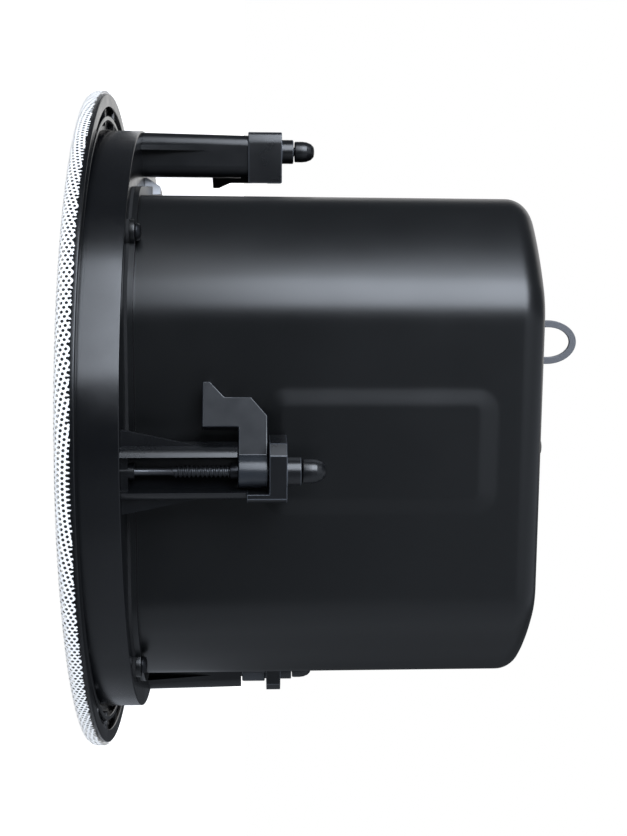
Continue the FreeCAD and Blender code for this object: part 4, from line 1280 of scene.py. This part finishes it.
    @staticmethod
    def sector(name: str, span: Point, start: Point, end: Point, steps: int = 72) -> bpy.types.Object:
        """Bend one sheet round the axis.

        Args:
            name: its name.
            span: the directions where it starts and ends, in degrees from the near side towards up.
            start: radius and height of its first edge, in metres.
            end: radius and height of its other edge.
            steps: flat strips that it is bent into.

        Returns:
            The sheet.
        """
        bpy.ops.object.select_all(action="DESELECT")
        bpy.ops.mesh.primitive_grid_add(x_subdivisions=steps, y_subdivisions=1, size=1.0)
        sheet = added(name)
        places = np.empty((2, steps + 1, 3), np.float32)
        for k, angle in enumerate(np.radians(np.linspace(*span, steps + 1))):
            side = SIDE_NEAR * math.cos(angle) + SIDE_UP * math.sin(angle)
            for row, (radius, height) in enumerate((start, end)):
                places[row, k] = side * radius + AXIS * height
        sheet.data.vertices.foreach_set("co", places.ravel())
        return sheet

    def glow(self, card: bpy.types.Object, strength: float) -> None:
        """Make a stage card evenly bright, and hide it from the camera.

        Args:
            card: the card.
            strength: its brightness.
        """
        material = bpy.data.materials.new(card.name)
        material.use_nodes = True
        tree = material.node_tree
        tree.nodes.clear()
        light = add_node(tree, "ShaderNodeEmission",
                         inputs={"Color": (*self.cool, 1.0), "Strength": strength})
        add_node(tree, "ShaderNodeOutputMaterial", inputs={"Surface": light.outputs[0]})
        card.data.materials.append(material)
        card.visible_camera = False

    def lamps(self) -> None:
        """One broad soft box above the near side, and a fill from below that shows in no reflection."""
        self.hang(self.key)
        self.hang(self.fill)

    def hang(self, box: SoftBox) -> None:
        """Hang one soft box, out of the camera's sight.

        Args:
            box: the lamp's size, place and power.
        """
        data = bpy.data.lights.new(box.name, "AREA")
        data.shape, data.energy, data.color = "RECTANGLE", box.watts, self.cool
        data.size, data.size_y = box.size
        lamp = bpy.data.objects.new(box.name, data)
        bpy.context.scene.collection.objects.link(lamp)
        angle = math.radians(box.degrees)
        out = SIDE_NEAR * math.cos(angle) + SIDE_UP * math.sin(angle)
        across = AXIS.cross(out) * -1.0
        lamp.matrix_world = (Matrix.Translation(out * box.place[0] + AXIS * box.place[1])
                             @ Matrix((across, AXIS, out)).transposed().to_4x4())
        lamp.visible_camera, lamp.visible_glossy = False, box.reflected

    @staticmethod
    def world() -> None:
        """Plain white surroundings."""
        world = bpy.data.worlds.new("white_surroundings")
        bpy.context.scene.world = world
        world.use_nodes = True
        tree = world.node_tree
        tree.nodes.clear()
        white = add_node(tree, "ShaderNodeBackground", inputs={"Color": (1, 1, 1, 1), "Strength": 1.0})
        add_node(tree, "ShaderNodeOutputWorld", inputs={"Surface": white.outputs[0]})


def main() -> None:
    """Load the solids, dress them and set up the studio."""
    logging.basicConfig(level=logging.INFO, format="%(message)s")
    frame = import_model()
    Housing(Grille(), Baffle(), BackCan(), Fasteners()).build(frame)
    Clamp().build(frame)
    Studio().build()


if __name__ == "__main__":
    main()
